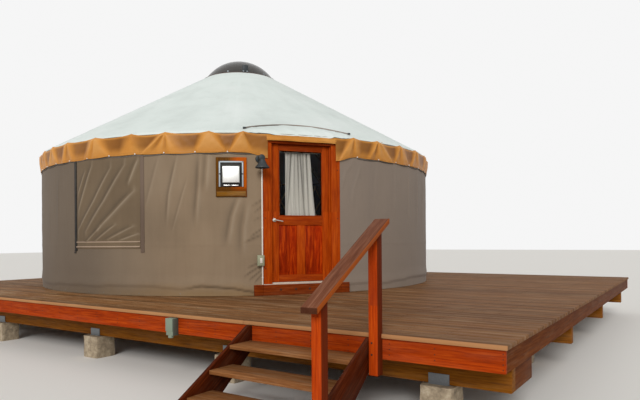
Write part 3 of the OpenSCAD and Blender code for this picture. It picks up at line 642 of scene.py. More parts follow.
# Near black: the dark strip by the window flap, and painted shade in the gaps round the vent cap
darkFill = plasticMaterial("darkFillPlastic", "#1d1a18", 0.7, dustAmount=0.1)
lampMetal = metalMaterial("greyPowderCoat", "#21282b", 0.5, metallic=0.0)
cableSteel = metalMaterial("twistedCable", "#8a8f92", 0.4)
boltMetal = metalMaterial("rustedBolt", "#4a3225", 0.7, metallic=0.6)
greyPlastic = plasticMaterial("greyMouldedPlastic", "#7d8a78", 0.55)
conduitPlastic = plasticMaterial("whiteConduitPvc", "#e6dcd2", 0.45, dustAmount=0.1)
thresholdMetal = plasticMaterial("agedThresholdAluminium", "#cdbcab", 0.45, dustAmount=0.3)
boxPlastic = plasticMaterial("greenGreyBoxPlastic", "#9a9c80", 0.5)
ropeFibre = canvasMaterial("greyBraidedRope", "#6e6660", "#54504a", "#8c847c", weave=0.004)
domeAcrylic = clearMaterial("smokedAcrylic", "#3c3832", 0.12, 0.92, transmission=0.15)
paneGlass = clearMaterial("clearPaneGlass", "#101214", 0.02, 0.13, transmission=0.0)
curbPaint = plasticMaterial("darkRedPaint", "#43231a", 0.5)
print("materials made")


# Deck: boards with gaps between them, screwed down at every joist

deck = {
    "boardWidth": 0.140,
    "boardPitch": 0.146,
    "boardThickness": 0.038,
    "edgeRound": 0.006,
    "joistPitch": 0.406,
    "screwRadius": 0.0055,
    "longest": 4.9,
    "shortest": 2.4,
    "endGap": 0.0015,
    "seed": 4,
}
deckLow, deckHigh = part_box("deck_floor")
joistLines = [deckLow.x + 0.02 + deck["joistPitch"] * n + 0.019 for n in range(1, 27)]


def makeDeckBoards():
    draw = np.random.default_rng(deck["seed"])
    template = makeBoard("boardTemplate", (-0.5, -deck["boardWidth"] / 2, deckHigh.z - deck["boardThickness"]),
                         (0.5, deck["boardWidth"] / 2, deckHigh.z), deck["edgeRound"])
    points = meshPoints(template.data)
    copies = []
    y = deckLow.y + deck["boardWidth"] / 2
    while y + deck["boardWidth"] / 2 <= deckHigh.y + 0.02:
        ends = [deckLow.x]
        while deckHigh.x - ends[-1] > deck["longest"]:
            reach = ends[-1] + draw.uniform(deck["shortest"], deck["longest"])
            ends.append(min(joistLines, key=lambda line: abs(line - reach)))
        ends.append(deckHigh.x)
        half = min(deck["boardWidth"] / 2, deckHigh.y - y)
        for left, right in zip(ends, ends[1:]):
            board = points.copy()
            along, gap = board[:, 0], deck["endGap"]
            board[:, 0] = np.where(along > 0, along - 0.5 + right - gap, along + 0.5 + left + gap)
            board[:, 1] = board[:, 1] * half / (deck["boardWidth"] / 2) + y
            copies.append(board)
        y += deck["boardPitch"]
    boards = stackCopies("deckBoards", template, copies)
    finishPiece(boards, deckWood, "deck_boards_wood", "deck_floor")
    screw = makeRound("screwTemplate", (0, 0, 0), deck["screwRadius"], 0.002, sides=6, bevel=0.0004)
    places = []
    y = deckLow.y + deck["boardWidth"] / 2
    while y < deckHigh.y:
        for x in joistLines:
            for side in (-0.045, 0.045):
                if math.hypot(x, y + side) > yurt["wallRadius"] + 0.02:
                    places.append(((x + draw.uniform(-0.004, 0.004), y + side, deckHigh.z), stay))
        y += deck["boardPitch"]
    screws = copyInto("deckScrews", screw, places)
    finishPiece(screws, boltMetal, "galvanised_steel")


makeDeckBoards()
for node, name, material, slot in (
        ("front_fascia", "frontFascia", fasciaWood, "fascia_wood"),
        ("back_fascia", "backFascia", fasciaWood, "fascia_wood"),
        ("side_fascias", "sideFascias", shadedSideFasciaWood, "fascia_wood"),
        ("girders", "girderBeams", girderWood, "girder_wood"),
        ("girder_end_boards", "girderEndBoards", shadedSideFasciaWood, "girder_wood"),
        ("stair_stringers", "stairStringers", stringerWood, "stair_wood"),
        ("stair_treads", "stairTreads", treadWood, "tread_wood"),
        ("rail_posts", "railPosts", postWood, "rail_wood"),
        ("handrail", "handrailCap", railWood, "rail_wood"),
        ("junction_box", "junctionBox", greyPlastic, "grey_plastic")):
    finishPiece(dressNode(node, name, 0.004), material, slot)
for node, material in (("joists", joistWood), ("centre_beam", joistWood), ("floor_rim", joistWood),
                       ("floor_sleepers", girderWood), ("floor_boards", floorWood), ("rafters", paleWood),
                       ("crown_ring", paleWood), ("tension_cable", cableSteel), ("pier_saddles", zincSteel)):
    setMaterial(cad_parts[node], material)
for number in range(1, 6):
    setMaterial(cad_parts["lattice_%d" % number], paleWood)
print("deck and stair made")


# Piers: rough stones, drawn in a little from the blocks that they replace. The shares are of the distance
# from the stone's middle.

pier = {
    "cuts": 7,
    "bumps": 0.04,
    "inset": 0.045,
    "corner": 0.05,
    "seed": 9,
}


def makePiers():
    draw = np.random.default_rng(pier["seed"])
    stones = []
    for node in ("piers", "centre_pier"):
        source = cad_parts[node].data
        points = np.array([v.co for v in source.vertices])
        tops = points[:, 2].max()
        groups = {}
        for x, y, z in points:
            key = next((k for k in groups if abs(k[0] - x) < 0.4 and abs(k[1] - y) < 0.4), None)
            groups.setdefault(key or (x, y), []).append((x, y))
        for members in groups.values():
            xs, ys = [m[0] for m in members], [m[1] for m in members]
            low = Vector((min(xs), min(ys), 0.0))
            high = Vector((max(xs), max(ys), tops))
            stone = editWhole(makeCube(low, high), (bpy.ops.mesh.subdivide, {"number_cuts": pier["cuts"]}))
            middle = (low + high) / 2
            phase = draw.uniform(0, 50)
            for vertex in stone.data.vertices:
                out = Vector((vertex.co.x - middle.x, vertex.co.y - middle.y, 0))
                bump = math.sin(vertex.co.x * 31 + phase) + math.sin(vertex.co.y * 37 + 2 * phase)
                bump += math.sin(vertex.co.z * 29 + 3 * phase)
                corner = min(abs(out.x), abs(out.y)) / 0.16
                vertex.co -= out * (pier["bumps"] * bump / 3 + pier["inset"] + pier["corner"] * corner ** 4)
            stones.append(smooth(stone, 40))
    joined = joinPieces("pierStones", stones)
    finishPiece(joined, pierStone, "pier_stone", "piers", "centre_pier")


makePiers()


# Fixings that show: bolts in the post, and nails at the fascia's ends and at each joist

fixings = {
    "postWidth": 0.089,
    "boltRadius": 0.009,
    "boltDrops": (0.035, 0.135),                    # below the fascia's top
    "nailRadius": 0.005,
    "endHeights": (0.030, 0.071, 0.112, 0.153),     # above the fascia's lower edge
    "joistHeights": (0.045, 0.092, 0.140),
}


def makeFixings():
    fasciaLow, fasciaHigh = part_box("front_fascia")
    postLow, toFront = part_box("rail_posts")[0], (0, -1, 0)
    bolts = []
    for drop in fixings["boltDrops"]:
        place = (postLow.x + 0.03, fasciaLow.y - fixings["postWidth"], fasciaHigh.z - drop)
        bolts.append(makeRound("postBolt", place, fixings["boltRadius"], 0.008, toFront, 6))
    template = makeRound("nailTemplate", (0, 0, 0), fixings["nailRadius"], 0.003, toFront, 8, 0.0008)
    places = []
    for side in (-1, 1):
        x = fasciaHigh.x - 0.018 if side > 0 else fasciaLow.x + 0.018
        places.extend([((x, fasciaLow.y, fasciaLow.z + z), stay) for z in fixings["endHeights"]])
    for x in joistLines:
        places.extend([((x, fasciaLow.y, fasciaLow.z + z), stay) for z in fixings["joistHeights"]])
    bolts.append(copyInto("fasciaNails", template, places))
    finishPiece(joinPieces("deckFixings", bolts), boltMetal, "galvanised_steel")


makeFixings()
boxLow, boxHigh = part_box("junction_box")
# Painted shade: the junction box's right face is painted darker
tintAcross(greyPlastic, "X", boxHigh.x - 0.010, boxHigh.x - 0.004, "#3c3d38", 0.8)
fitting = joinPieces("boxFitting", [
    makeBoard("boxLid", (boxLow.x - 0.004, boxLow.y - 0.006, boxLow.z + 0.048),
              (boxHigh.x - 0.006, boxLow.y, boxHigh.z), 0.004),
    makeRound("fitting", ((boxLow.x + boxHigh.x) / 2, boxLow.y + 0.02, boxLow.z - 0.012), 0.030, 0.030,
              sides=20, bevel=0.005)])
finishPiece(fitting, greyPlastic, "grey_plastic")


# Wall cover: one canvas from one side of the door round to the other

wall = {
    "columns": 1100,
    "rows": 80,
    "low": 0.756,
    "top": 3.156,
    "randomCreases": 46,     # soft ones all round, beside the ones that are placed
    "seamHeight": 0.76,      # level seam, above the deck
    "hemHeight": 0.13,       # where the canvas turns in over the floor's rim
    "hemBulge": 0.013,
    "buttonPitch": 0.33,
    "buttonTop": 0.790,
    "columnShares": ([0.0, 0.2, 0.5, 1.0], [0.0, 0.17, 0.79, 1.0]),
    "seed": 21,
    # Placed creases: points as (degrees from +X, height above the deck), width, depth
    "folds": [
        ([(-57.6, 2.15), (-58.0, 1.64), (-58.8, 1.05)], 0.045, 0.020),
        ([(-55.9, 2.15), (-56.6, 1.55)], 0.05, 0.009),
        ([(-62.7, 2.12), (-64.8, 1.50), (-65.4, 1.05)], 0.028, 0.011),
        ([(-60.6, 1.75), (-64.2, 0.95)], 0.022, 0.007),
        ([(-67.0, 2.1), (-70.5, 1.3)], 0.03, 0.006),
        ([(-49.0, 1.52), (-50.8, 1.17), (-51.9, 0.72)], 0.055, 0.013),
        ([(-47.4, 1.40), (-48.4, 1.0), (-48.6, 0.6)], 0.06, 0.008),
        ([(-22.0, 2.06), (-24.3, 1.88), (-25.4, 1.62)], 0.03, 0.010),
        ([(-19.6, 2.08), (-20.6, 1.85), (-22.1, 1.60), (-22.7, 1.30)], 0.04, 0.010),
        ([(-14.2, 2.1), (-15.5, 1.3)], 0.05, 0.006), ([(-6.9, 2.1), (-7.4, 1.2)], 0.05, 0.007),
        ([(0.0, 2.1), (0.6, 1.0)], 0.05, 0.008), ([(6.5, 2.1), (6.2, 0.9)], 0.06, 0.009),
        ([(12.5, 2.1), (12.0, 0.9)], 0.06, 0.009)],
    "wrinkles": [
        ([(-44.2, 1.44), (-46.8, 1.34)], 0.014, 0.005),
        ([(-44.2, 1.35), (-46.3, 1.24)], 0.012, 0.005),
        ([(-44.2, 1.20), (-46.5, 1.12)], 0.012, 0.004),
        ([(-44.2, 1.02), (-47.2, 0.88)], 0.014, 0.006),
        ([(-44.2, 0.93), (-48.6, 0.80)], 0.016, 0.007),
        ([(-44.4, 0.52), (-47.8, 0.43)], 0.014, 0.006),
        ([(-44.6, 0.47), (-48.6, 0.30)], 0.014, 0.007),
        ([(-44.2, 0.42), (-47.6, 0.24)], 0.014, 0.006),
        ([(-44.2, 0.36), (-46.4, 0.20)], 0.014, 0.006)],
    "tuck": [(-57.5, 0.160), (-52.8, 0.133), (-50.4, 0.118), (-48.0, 0.083), (-45.2, 0.055)],
}
halfDoorAngle = math.asin(door["halfFrame"] / yurt["wallRadius"])


def hemLine(angle):
    s = angle * yurt["wallRadius"]
    line = wall["hemHeight"] + 0.018 * np.sin(s * 1.7 + 0.6) + 0.010 * np.sin(s * 3.9 + 1)
    line += 0.004 * np.sin(s * 9)
    turns = np.radians([point[0] for point in wall["tuck"]]) % (2 * math.pi)
    heights = [point[1] for point in wall["tuck"]]
    turned = angle % (2 * math.pi)
    placed = np.interp(turned, turns, heights)
    share = blendStep(turned, turns[0] - 0.08, turns[0]) * (turned < turns[-1] + 0.02)
    return line * (1 - share) + placed * share, share


def wallShape(u, v):
    draw = np.random.default_rng(wall["seed"])
    radius = yurt["wallRadius"]
    # Most columns lie on the side that the photograph shows
    share = np.interp(u, *wall["columnShares"])
    angle = doorTurn + halfDoorAngle + (2 * math.pi - 2 * halfDoorAngle) * share
    s = angle * radius
    paintedShading = np.zeros_like(u)
    z = wall["low"] + (wall["top"] - wall["low"]) * (0.7 * v + 0.3 * v ** 2)
    height = z - yurt["deckTop"]
    push = 0.004 * ripples(3, s, height * 0.2, 0.9) * blendStep(height, 0.2, 0.9)
    push += 0.0022 * ripples(5, s, height, 0.45)
    push += 0.0010 * ripples(7, s, height * 0.1, 0.07, 5) * blendStep(height, 0.2, 1.2)
    first, span = angle.min() * radius, (angle.max() - angle.min()) * radius
    for _ in range(wall["randomCreases"]):
        centre = first + draw.uniform(0, 1) * span
        slant = draw.normal(0, 0.08)
        width = draw.uniform(0.03, 0.08)
        top = draw.choice([2.1, 2.1, 1.7, 1.3])
        length = draw.uniform(0.6, 1.6)
        depth = draw.uniform(0.003, 0.008)
        line = centre + slant * (top - height) + 0.02 * np.sin(height * draw.uniform(2, 4))
        reach = between(height, top - length, top - length * 0.4, top, top + 0.25)
        clear = (centre / radius % (2 * math.pi) < math.radians(285)) or (centre / radius % (2 * math.pi) > 6.0)
        push += depth * crest(s - line, width) * reach * clear
        # Painted shade on one flank of each soft crease
        paintedShading += 0.5 * crest(s - line + width, width) * reach * clear
    for points, width, depth in wall["folds"]:
        push += crease(angle, height, points, width * 0.75, depth * 1.3)
        # Painted shade beside each placed fold, and a painted highlight on its ridge
        paintedShading += crease(angle, height, points, width * 0.8, min(1.0, depth / 0.011), aside=-width)
        paintedShading -= crease(angle, height, points, width * 0.6, min(0.8, depth / 0.013), aside=0.2 * width)
    for points, width, depth in wall["wrinkles"]:
        push += crease(angle, height, points, width * 0.75, depth * 1.5, level=True)
        # Painted shade on one flank of each level wrinkle
        paintedShading += crease(angle, height, points, width * 0.8, min(1.0, depth / 0.006), level=True, aside=-width)
    hem, placed = hemLine(angle)
    push += (wall["hemBulge"] + 0.009 * placed) * blendStep(height, hem - 0.012, hem + 0.004) * (
        1 - blendStep(height, hem + 0.01, hem + 0.22)) ** 1.5
    push += 0.0035 * placed * crest(height - hem * 0.55, 0.02)
    push += 0.0030 * fold(height - wall["seamHeight"], 0.008)
    screws = np.abs((s / wall["buttonPitch"]) % 1 - 0.5) * wall["buttonPitch"]
    push -= 0.003 * fold(screws, 0.03) * fold(height - 0.04, 0.03)
    push += 0.002
    # Pressed flat behind the vent board
    aside = np.abs(wrapTurn(angle - math.radians(vent["direction"])))
    behind = (1 - blendStep(aside, 0.060, 0.072)) * blendStep(height, 1.38, 1.45)
    push = push * (1 - behind)
    # Painted shadow lines under the level seam and under the hem's bulge
    paintedShading += 0.5 * fold(height - wall["seamHeight"] + 0.012, 0.006)
    paintedShading += 0.8 * placed * fold(height - hem + 0.016, 0.012)
    return *aroundAxis(radius + push, angle, z), paintedShading


wallCover = gridSheet("wallCover", wall["columns"], wall["rows"], wallShape)
finishPiece(wallCover, wallCanvas, "wall_canvas", *["wall_cover_%d" % n for n in range(1, 6)])


def overDoorShape(u, v):
    radius = yurt["wallRadius"]
    angle = doorTurn + halfDoorAngle * (2 * u - 1)
    z = door["frameTop"] + (wall["top"] - door["frameTop"]) * v
    return aroundAxis(radius, angle, z)


overDoor = gridSheet("wallOverDoor", 40, 4, overDoorShape)
finishPiece(overDoor, wallCanvas, "wall_canvas", "wall_over_door")

hemButtons = []
for n in range(72):
    angle = doorTurn + halfDoorAngle + 0.03 + n * wall["buttonPitch"] / yurt["wallRadius"]
    if angle < doorTurn + 2 * math.pi - halfDoorAngle:
        hemButtons.append((aroundAxis(yurt["wallRadius"], angle, wall["buttonTop"]), aroundZ(angle)))
button = makeRound("buttonTemplate", (0, 0, 0), 0.006, 0.005, outward, 10)
finishPiece(copyInto("hemButtons", button, hemButtons), zincSteel, "galvanised_steel")
print("wall cover made")


# Roof cover: white vinyl stretched over the rafters, scalloped where it turns down at the eave

roof = {
    "columns": 1440,
    "rows": 46,
    "sag": 0.008,            # between rafters
    "scallop": 0.040,        # how far the eave line drops between rafters
    "seams": (3.25, 2.22),   # radii of the level welds
    "apronSpan": 0.87,
    "apronBow": 0.075,
    "apronMiddle": 3.600,
    "apronProud": 0.012,
    "stripHalf": 0.009,      # half the rain strip's thickness
    "stripLift": 0.020,      # how far its left end stands out
    "seed": 17,
}
roofRise = math.tan(math.radians(yurt["roofSlope"]))


def roofHeight(radius):
    return yurt["eaveTop"] + (yurt["eaveRadius"] - radius) * roofRise


def rafterPeaks():
    draw = np.random.default_rng(roof["seed"])
    peaks = []
    for n in range(-20, 20):
        place = n * 360 / yurt["rafters"] + yurt["rafterTurn"]
        nearest = min(yurt["peakShifts"], key=lambda known: abs(known - place))
        place = yurt["peakShifts"][nearest] if abs(nearest - place) < 0.5 else place + draw.uniform(-1.2, 1.2)
        peaks.append((math.radians(place), draw.uniform(0.6, 1.3)))
    return allRound(peaks)


def allRound(entries):
    # The same entries again before the first and after the last, so that nothing jumps at the back
    before = [(entry[0] - 2 * math.pi, entry[1]) for entry in entries[-3:]]
    after = [(entry[0] + 2 * math.pi, entry[1]) for entry in entries[:3]]
    return before + entries + after


peaks = rafterPeaks()
peakTurns = np.array([peak[0] for peak in peaks])


def rafterWave(angle):
    turn = np.interp(wrapTurn(angle), peakTurns, np.arange(len(peaks)))
    sizes = np.array([peak[1] for peak in peaks])
    return np.abs(np.sin(math.pi * turn)) * sizes[np.clip(np.floor(turn).astype(int), 0, len(peaks) - 1)]


def eaveLine(angle):
    wave = rafterWave(angle)
    away = np.abs(wrapTurn(angle - doorTurn))
    wave = wave * blendStep(away, halfDoorAngle * 0.8, halfDoorAngle * 1.15)
    flat = 1 - blendStep(away, halfDoorAngle * 0.7, halfDoorAngle * 1.1)
    drop = roof["scallop"] * wave ** 0.8 + 0.050 * flat
    return yurt["eaveRadius"] - 0.006 * wave, yurt["eaveTop"] - drop


def diverterLine(across):
    bow = (roof["apronSpan"] ** 2 + roof["apronBow"] ** 2) / (2 * roof["apronBow"])
    return roof["apronMiddle"] + bow - np.sqrt(np.maximum(bow ** 2 - across ** 2, 0))


def roofShape(u, v):
    angle = doorTurn + math.pi + 2 * math.pi * u
    run = v ** 1.6
    edgeRadius, edgeTop = eaveLine(angle)
    radius = edgeRadius + (yurt["crownRadius"] - edgeRadius) * run
    z = roofHeight(radius)
    z += (edgeTop - yurt["eaveTop"]) * (1 - blendStep(run, 0.0, 0.014))
    lift = -roof["sag"] * np.minimum(rafterWave(angle), 1) ** 1.5 * (1 - run) * blendStep(run, 0.0, 0.03)
    for seam in roof["seams"]:
        lift += 0.003 * fold(radius - seam, 0.012)
    lift += 0.0025 * ripples(8, radius * angle, radius, 0.9)
    across = radius * np.sin(angle - doorTurn)
    along = radius * np.cos(angle - doorTurn)
    line = diverterLine(across)
    below = blendStep(along - line, -0.010, 0.010) * (along > 0)
    side = 1 - blendStep(np.abs(across), roof["apronSpan"] - 0.10, roof["apronSpan"])
    # Slanting wrinkles in the loose cloth between the rain strip and the eave
    past = along - line
    slanted = across - 0.9 * past
    wrinkle = crest(np.sin(slanted * 8.3 + 0.8 * np.sin(across * 5)), 0.35) * blendStep(past, 0.03, 0.12)
    wrinkle += 0.6 * crest(np.sin(slanted * 13.7 + 2.0), 0.25) * blendStep(past, 0.08, 0.16)
    lift += below * side * (roof["apronProud"] + 0.015 * wrinkle) * (1 - 0.6 * blendStep(past, 0.2, 0.27))
    normal = math.radians(yurt["roofSlope"])
    out = radius + lift * math.sin(normal)
    return aroundAxis(out, angle, z + lift * math.cos(normal))


roofCover = gridSheet("roofCover", roof["columns"], roof["rows"], roofShape)
editWhole(roofCover, mergeClose)
finishPiece(roofCover, roofVinyl, "roof_vinyl", "roof_cover")


def makeDiverter():
    def shape(u, v):
        across = (2 * u - 1) * roof["apronSpan"]
        thick = roof["stripHalf"] + 0.004 * blendStep(np.abs(across), roof["apronSpan"] - 0.06,
                                                      roof["apronSpan"] - 0.03)
        lift = roof["stripLift"] * blendStep(-across, 0.78, 0.87)
        out = diverterLine(across) + thick * np.cos(2 * math.pi * v) + lift
        radius = np.sqrt(out ** 2 + across ** 2)
        z = roofHeight(radius) + 0.012 + thick * np.sin(2 * math.pi * v)
        return atDoor(out, across, z)

    strip = editWhole(gridSheet("rainDiverter", 120, 10, shape), mergeClose,
                      (bpy.ops.mesh.select_all, {"action": "DESELECT"}), (bpy.ops.mesh.select_non_manifold, {}),
                      (bpy.ops.mesh.fill, {}), (bpy.ops.mesh.select_all, {"action": "SELECT"}), faceOutward)
    finishPiece(strip, dividerVinyl, "roof_vinyl", "rain_diverter")
    ends = []
    for side in (-1, 1):
        across = side * (roof["apronSpan"] - 0.012)
        out = float(diverterLine(np.array(across))) + (roof["stripLift"] if side < 0 else 0)
        radius = math.hypot(out, across)
        z = roofHeight(radius) + 0.016
        ends.append(makeRound("stripEnd", (out, across, z), 0.016, 0.045, (0.1, 1, 0), 14, 0.004))
    finishPiece(joinTurned("rainStripEnds", ends, doorTurn), lampMetal, "dark_metal")


makeDiverter()
print("roof made")


# Valance: puckered between the rafter ends above and the ties below

valance = {
    "columns": 1900,
    "rows": 44,
    "lap": 0.080,            # how far its ends hang over the door frame
    "ridge": 0.036,
    "seed": 33,
    "endDrop": 0.075,
    # Fans of folds seen in the photograph: the peak, then feet in degrees from +X with ridge and valley heights
    "fans": {
        -94.7: [(-97.0, 0.034), (-95.2, 0.006), (-92.4, 0.030)],
        -84.1: [(-86.9, 0.044), (-85.5, 0.012), (-84.5, 0.032), (-80.3, 0.038)],
        -73.75: [(-76.3, 0.018), (-74.0, 0.022), (-72.2, 0.016)],
        -65.5: [(-71.4, 0.040), (-69.3, 0.004), (-66.6, 0.034), (-65.5, 0.006), (-64.2, 0.032), (-62.4, 0.018)],
        -55.8: [(-58.6, 0.042), (-55.4, 0.044), (-52.1, 0.040)],
        -48.5: [(-51.5, 0.042), (-49.4, 0.044), (-47.3, 0.036), (-45.6, 0.004)],
        -22.0: [(-26.0, 0.036), (-23.6, 0.034), (-22.4, 0.006), (-20.9, 0.034)],
        -14.25: [(-17.2, 0.040), (-15.3, 0.000), (-13.4, 0.040), (-10.8, 0.024), (-8.4, 0.040)],
        -5.05: [(-7.4, 0.034), (-5.2, 0.008), (-3.0, 0.034), (-0.4, 0.028)],
        4.58: [(1.4, 0.034), (4.3, 0.008), (7.4, 0.034)]},
}
lapAngle = math.asin((door["halfFrame"] - valance["lap"]) / yurt["eaveRadius"])
tieStep = math.radians(yurt["tiePitch"])
firstTie = math.radians(yurt["tieTurn"])


def valanceFans():
    draw = np.random.default_rng(valance["seed"])
    fans = []
    for peak, _ in peaks[3:-3]:
        place = math.degrees(peak)
        known = min(valance["fans"], key=lambda entry: abs(entry - place))
        reach, heights = draw.uniform(2.3, 4.3, 2), valance["ridge"] * draw.uniform(0.6, 1.2, 2)
        feet = [(-reach[0], heights[0]), (draw.uniform(-1, 1), valance["ridge"] * draw.uniform(0.0, 0.4)),
                (reach[1], heights[1])]
        if abs(known - place) < 1:
            feet = [(foot - known, height) for foot, height in valance["fans"][known]]
        fans.append((peak, [(math.radians(lean), height) for lean, height in feet]))
    return allRound(fans)


def fanHeights(angle, down):
    fans = valanceFans()
    heights, paintedShading = np.zeros_like(angle), np.zeros_like(angle)
    levels = np.round(down, 5)
    for level in np.unique(levels):
        places, rises, shades = [], [], []
        for (peak, feet), (following, nextFeet) in zip(fans, fans[1:]):
            places.extend([peak + lean * level for lean, _ in feet])
            rises.extend([height for _, height in feet])
            # Painted shade on the valleys between the ridges, and a painted highlight on the high ridges
            shades.extend([0.85 - 1.35 * min(1, height / 0.034) for _, height in feet])
            left, right = peak + feet[-1][0] * level, following + nextFeet[0][0] * level
            places.extend([left + 0.3 * (right - left), left + 0.75 * (right - left)])
            rises.extend([0.002, 0.0])
            shades.extend([0.75, 1.0])
        places = np.maximum.accumulate(places)
        row = levels == level
        wrapped = wrapTurn(angle[row])
        for offset, share in ((-0.003, 0.25), (0.0, 0.5), (0.003, 0.25)):
            heights[row] += share * np.interp(wrapped + offset, places, rises)
            paintedShading[row] += share * np.interp(wrapped + offset, places, shades)
    return heights, paintedShading


def valanceShape(u, v):
    first, last = doorTurn + lapAngle, doorTurn + 2 * math.pi - lapAngle
    angle = first + (last - first) * u
    down = 1 - v
    topRadius, topZ = eaveLine(angle)
    tieWave = np.abs(np.sin(math.pi * (angle - firstTie) / tieStep))
    lowZ = yurt["eaveTop"] - yurt["valanceDrop"] + 0.004 - 0.010 * tieWave + 0.006 * np.sin(angle * 13)
    fromEnd = np.minimum(angle - first, last - angle) * yurt["eaveRadius"]
    lowZ -= valance["endDrop"] * (1 - blendStep(fromEnd, 0.0, 0.40)) ** 1.5
    z = topZ + 0.006 * (1 - down) + (lowZ - topZ) * down
    lowRadius = yurt["wallRadius"] + 0.006 + 0.010 * tieWave
    radius = topRadius + 0.004 + (lowRadius - topRadius - 0.004) * down ** 1.2 + 0.006 * np.sin(math.pi * down)
    ridges, paintedShading = fanHeights(angle, down)
    ridges = ridges * blendStep(down, -0.02, 0.16) * (1 - 0.62 * down ** 1.5)
    # The painted shade and highlight fade in below the top edge and out towards the hem
    paintedShading = paintedShading * blendStep(down, 0.0, 0.14) * (1 - 0.8 * blendStep(down, 0.5, 0.95))
    # Pulled in tight round each tie, with short puckers above it
    pull = fold((np.abs(tieWave)) * 0.24, 0.035) * blendStep(down, 0.72, 1.0)
    push = ridges - 0.006 * pull + 0.0022 * ripples(12, angle * yurt["eaveRadius"], z * 1.5, 0.16)
    push += 0.003 * fold(down - 0.93, 0.02)
    radius = radius + push
    # A painted shadow line near the hem, under the puckers round the ties
    paintedShading = paintedShading + 0.5 * fold(down - 0.90, 0.012)
    return *aroundAxis(radius, angle, z), paintedShading


valanceSheet = gridSheet("valanceSheet", valance["columns"], valance["rows"], valanceShape)
finishPiece(valanceSheet, valanceVinyl, "valance_vinyl", "valance")


def valanceStripShape(u, v):
    angle = doorTurn + (lapAngle + 0.004) * (2 * u - 1)
    topRadius, topZ = eaveLine(angle)
    low = door["frameTop"] - 0.006 + 0.003 * np.sin(u * 9)
    z = low + (topZ + 0.006 - low) * v
    push = 0.006 + 0.004 * np.sin(u * 23 + v * 3) + 0.008 * crest(v - 0.25 - 0.15 * u, 0.12)
    radius = yurt["eaveRadius"] + push
    return aroundAxis(radius, angle, z)


valanceStrip = gridSheet("valanceOverDoor", 90, 8, valanceStripShape)
finishPiece(valanceStrip, valanceVinyl, "valance_vinyl")


rope = {
    "radius": 0.0065,
    "sag": 0.016,
    "parts": 8,              # points from one tie to the next
}


def makeTies():
    first, last = doorTurn + lapAngle + 0.05, doorTurn + 2 * math.pi - lapAngle - 0.05
    places, route = [], []
    n = math.ceil((first - firstTie) / tieStep)
    low = yurt["eaveTop"] - yurt["valanceDrop"]
    parts = rope["parts"]
    while firstTie + n * tieStep < last:
        angle = firstTie + n * tieStep
        places.append((aroundAxis(yurt["wallRadius"] + 0.016, angle, low + 0.012), aroundZ(angle)))
        for part in range(parts):
            turn = angle + tieStep * part / parts
            sag = rope["sag"] * math.sin(math.pi * part / parts)
            route.append(aroundAxis(yurt["wallRadius"] + 0.007, turn, low - 0.006 - sag))
        n += 1
    knot = makeRound("knotTemplate", (0, 0, 0), 0.011, 0.014, outward, 10, 0.004)
    finishPiece(copyInto("valanceTies", knot, places), conduitPlastic, "pale_plastic")
    curve = bpy.data.curves.new("tieRope", "CURVE")
    curve.dimensions = "3D"
    spline = curve.splines.new("POLY")
    spline.points.add(len(route) - 1)
    for point, place in zip(spline.points, route):
        point.co = (*place, 1)
    curve.bevel_depth = rope["radius"]
    curve.bevel_resolution = 1
    selectOnly(newPiece("tieRope", curve))
    bpy.ops.object.convert(target="MESH")
    finishPiece(smooth(bpy.context.object, 60), ropeFibre, "cable_steel")


makeTies()
print("valance made")


# Dome: smoked acrylic on a dark curb, with its opener

domeLow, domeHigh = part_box("dome")
dome = {
    "radius": round(domeHigh.x, 4),
    "height": round(domeHigh.z - domeLow.z, 4),
    "base": round(domeLow.z, 4),
    "thickness": 0.006,
    "clips": (-68, -8, 52, 112, 172, 232),   # degrees from +X
    "curbInner": 0.726,
    "openerAngle": -41,
    "latchLow": 4.976,
}


def makeDome():
    ball = (dome["radius"] ** 2 + dome["height"] ** 2) / (2 * dome["height"])
    centre = dome["base"] + dome["height"] - ball
    outer, steps = [], 28
    reach = math.asin(dome["radius"] / ball)
    for n in range(steps + 1):
        angle = reach * n / steps
        outer.append((ball * math.sin(angle), centre + ball * math.cos(angle)))
    inner = [(max(r - dome["thickness"] * r / ball, 0), z - dome["thickness"] * (z - centre) / ball)
             for r, z in reversed(outer)]
    outer[0] = (0.0, outer[0][1])
    inner[-1] = (0.0, inner[-1][1])
    piece = spinProfile("domeShell", outer + inner, (0, 0, 0), 96)
    finishPiece(piece, domeAcrylic, "dome_acrylic", "dome")
    low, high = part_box("dome_curb")
    middle = (low.z + high.z) / 2
    inside = dome["curbInner"]
    curb = spinProfile("domeCurb", [(inside, low.z), (0.770, low.z), (0.774, middle), (0.771, high.z - 0.003),
                                    (0.766, high.z), (inside, high.z), (inside, low.z)], (0, 0, 0), 96)
    finishPiece(curb, curbPaint, "curb_trim", "dome_curb")
    clips = []
    for turn in dome["clips"]:
        a = math.radians(turn)
        clips.append(makeBoard("clip", (dome["radius"] - 0.004, -0.014, high.z - 0.002),
                               (dome["radius"] + 0.016, 0.014, high.z + 0.040), 0.003, a))
    finishPiece(joinPieces("domeClips", clips), zincSteel, "dark_metal")


makeDome()
opener = dressNode("dome_opener", "domeOpener", 0.012)
finishPiece(opener, lampMetal, "dark_metal")
openerTurn = math.radians(dome["openerAngle"])
latches = [makeBoard("latch", (0.7752, side - 0.016, dome["latchLow"]),
                     (0.786, side + 0.016, dome["latchLow"] + 0.022), 0.003, openerTurn)
           for side in (-0.038, 0.038)]
finishPiece(joinPieces("openerLatches", latches), zincSteel, "dark_metal")
print("dome made")


# Door, drawn in its own frame (+X outwards, +Y to the right seen from outside) and then turned into place

def doorBoard(name, x, y, z, bevel=0.004):
    return makeBoard(name, (x[0], y[0], z[0]), (x[1], y[1], z[1]), bevel, doorTurn)


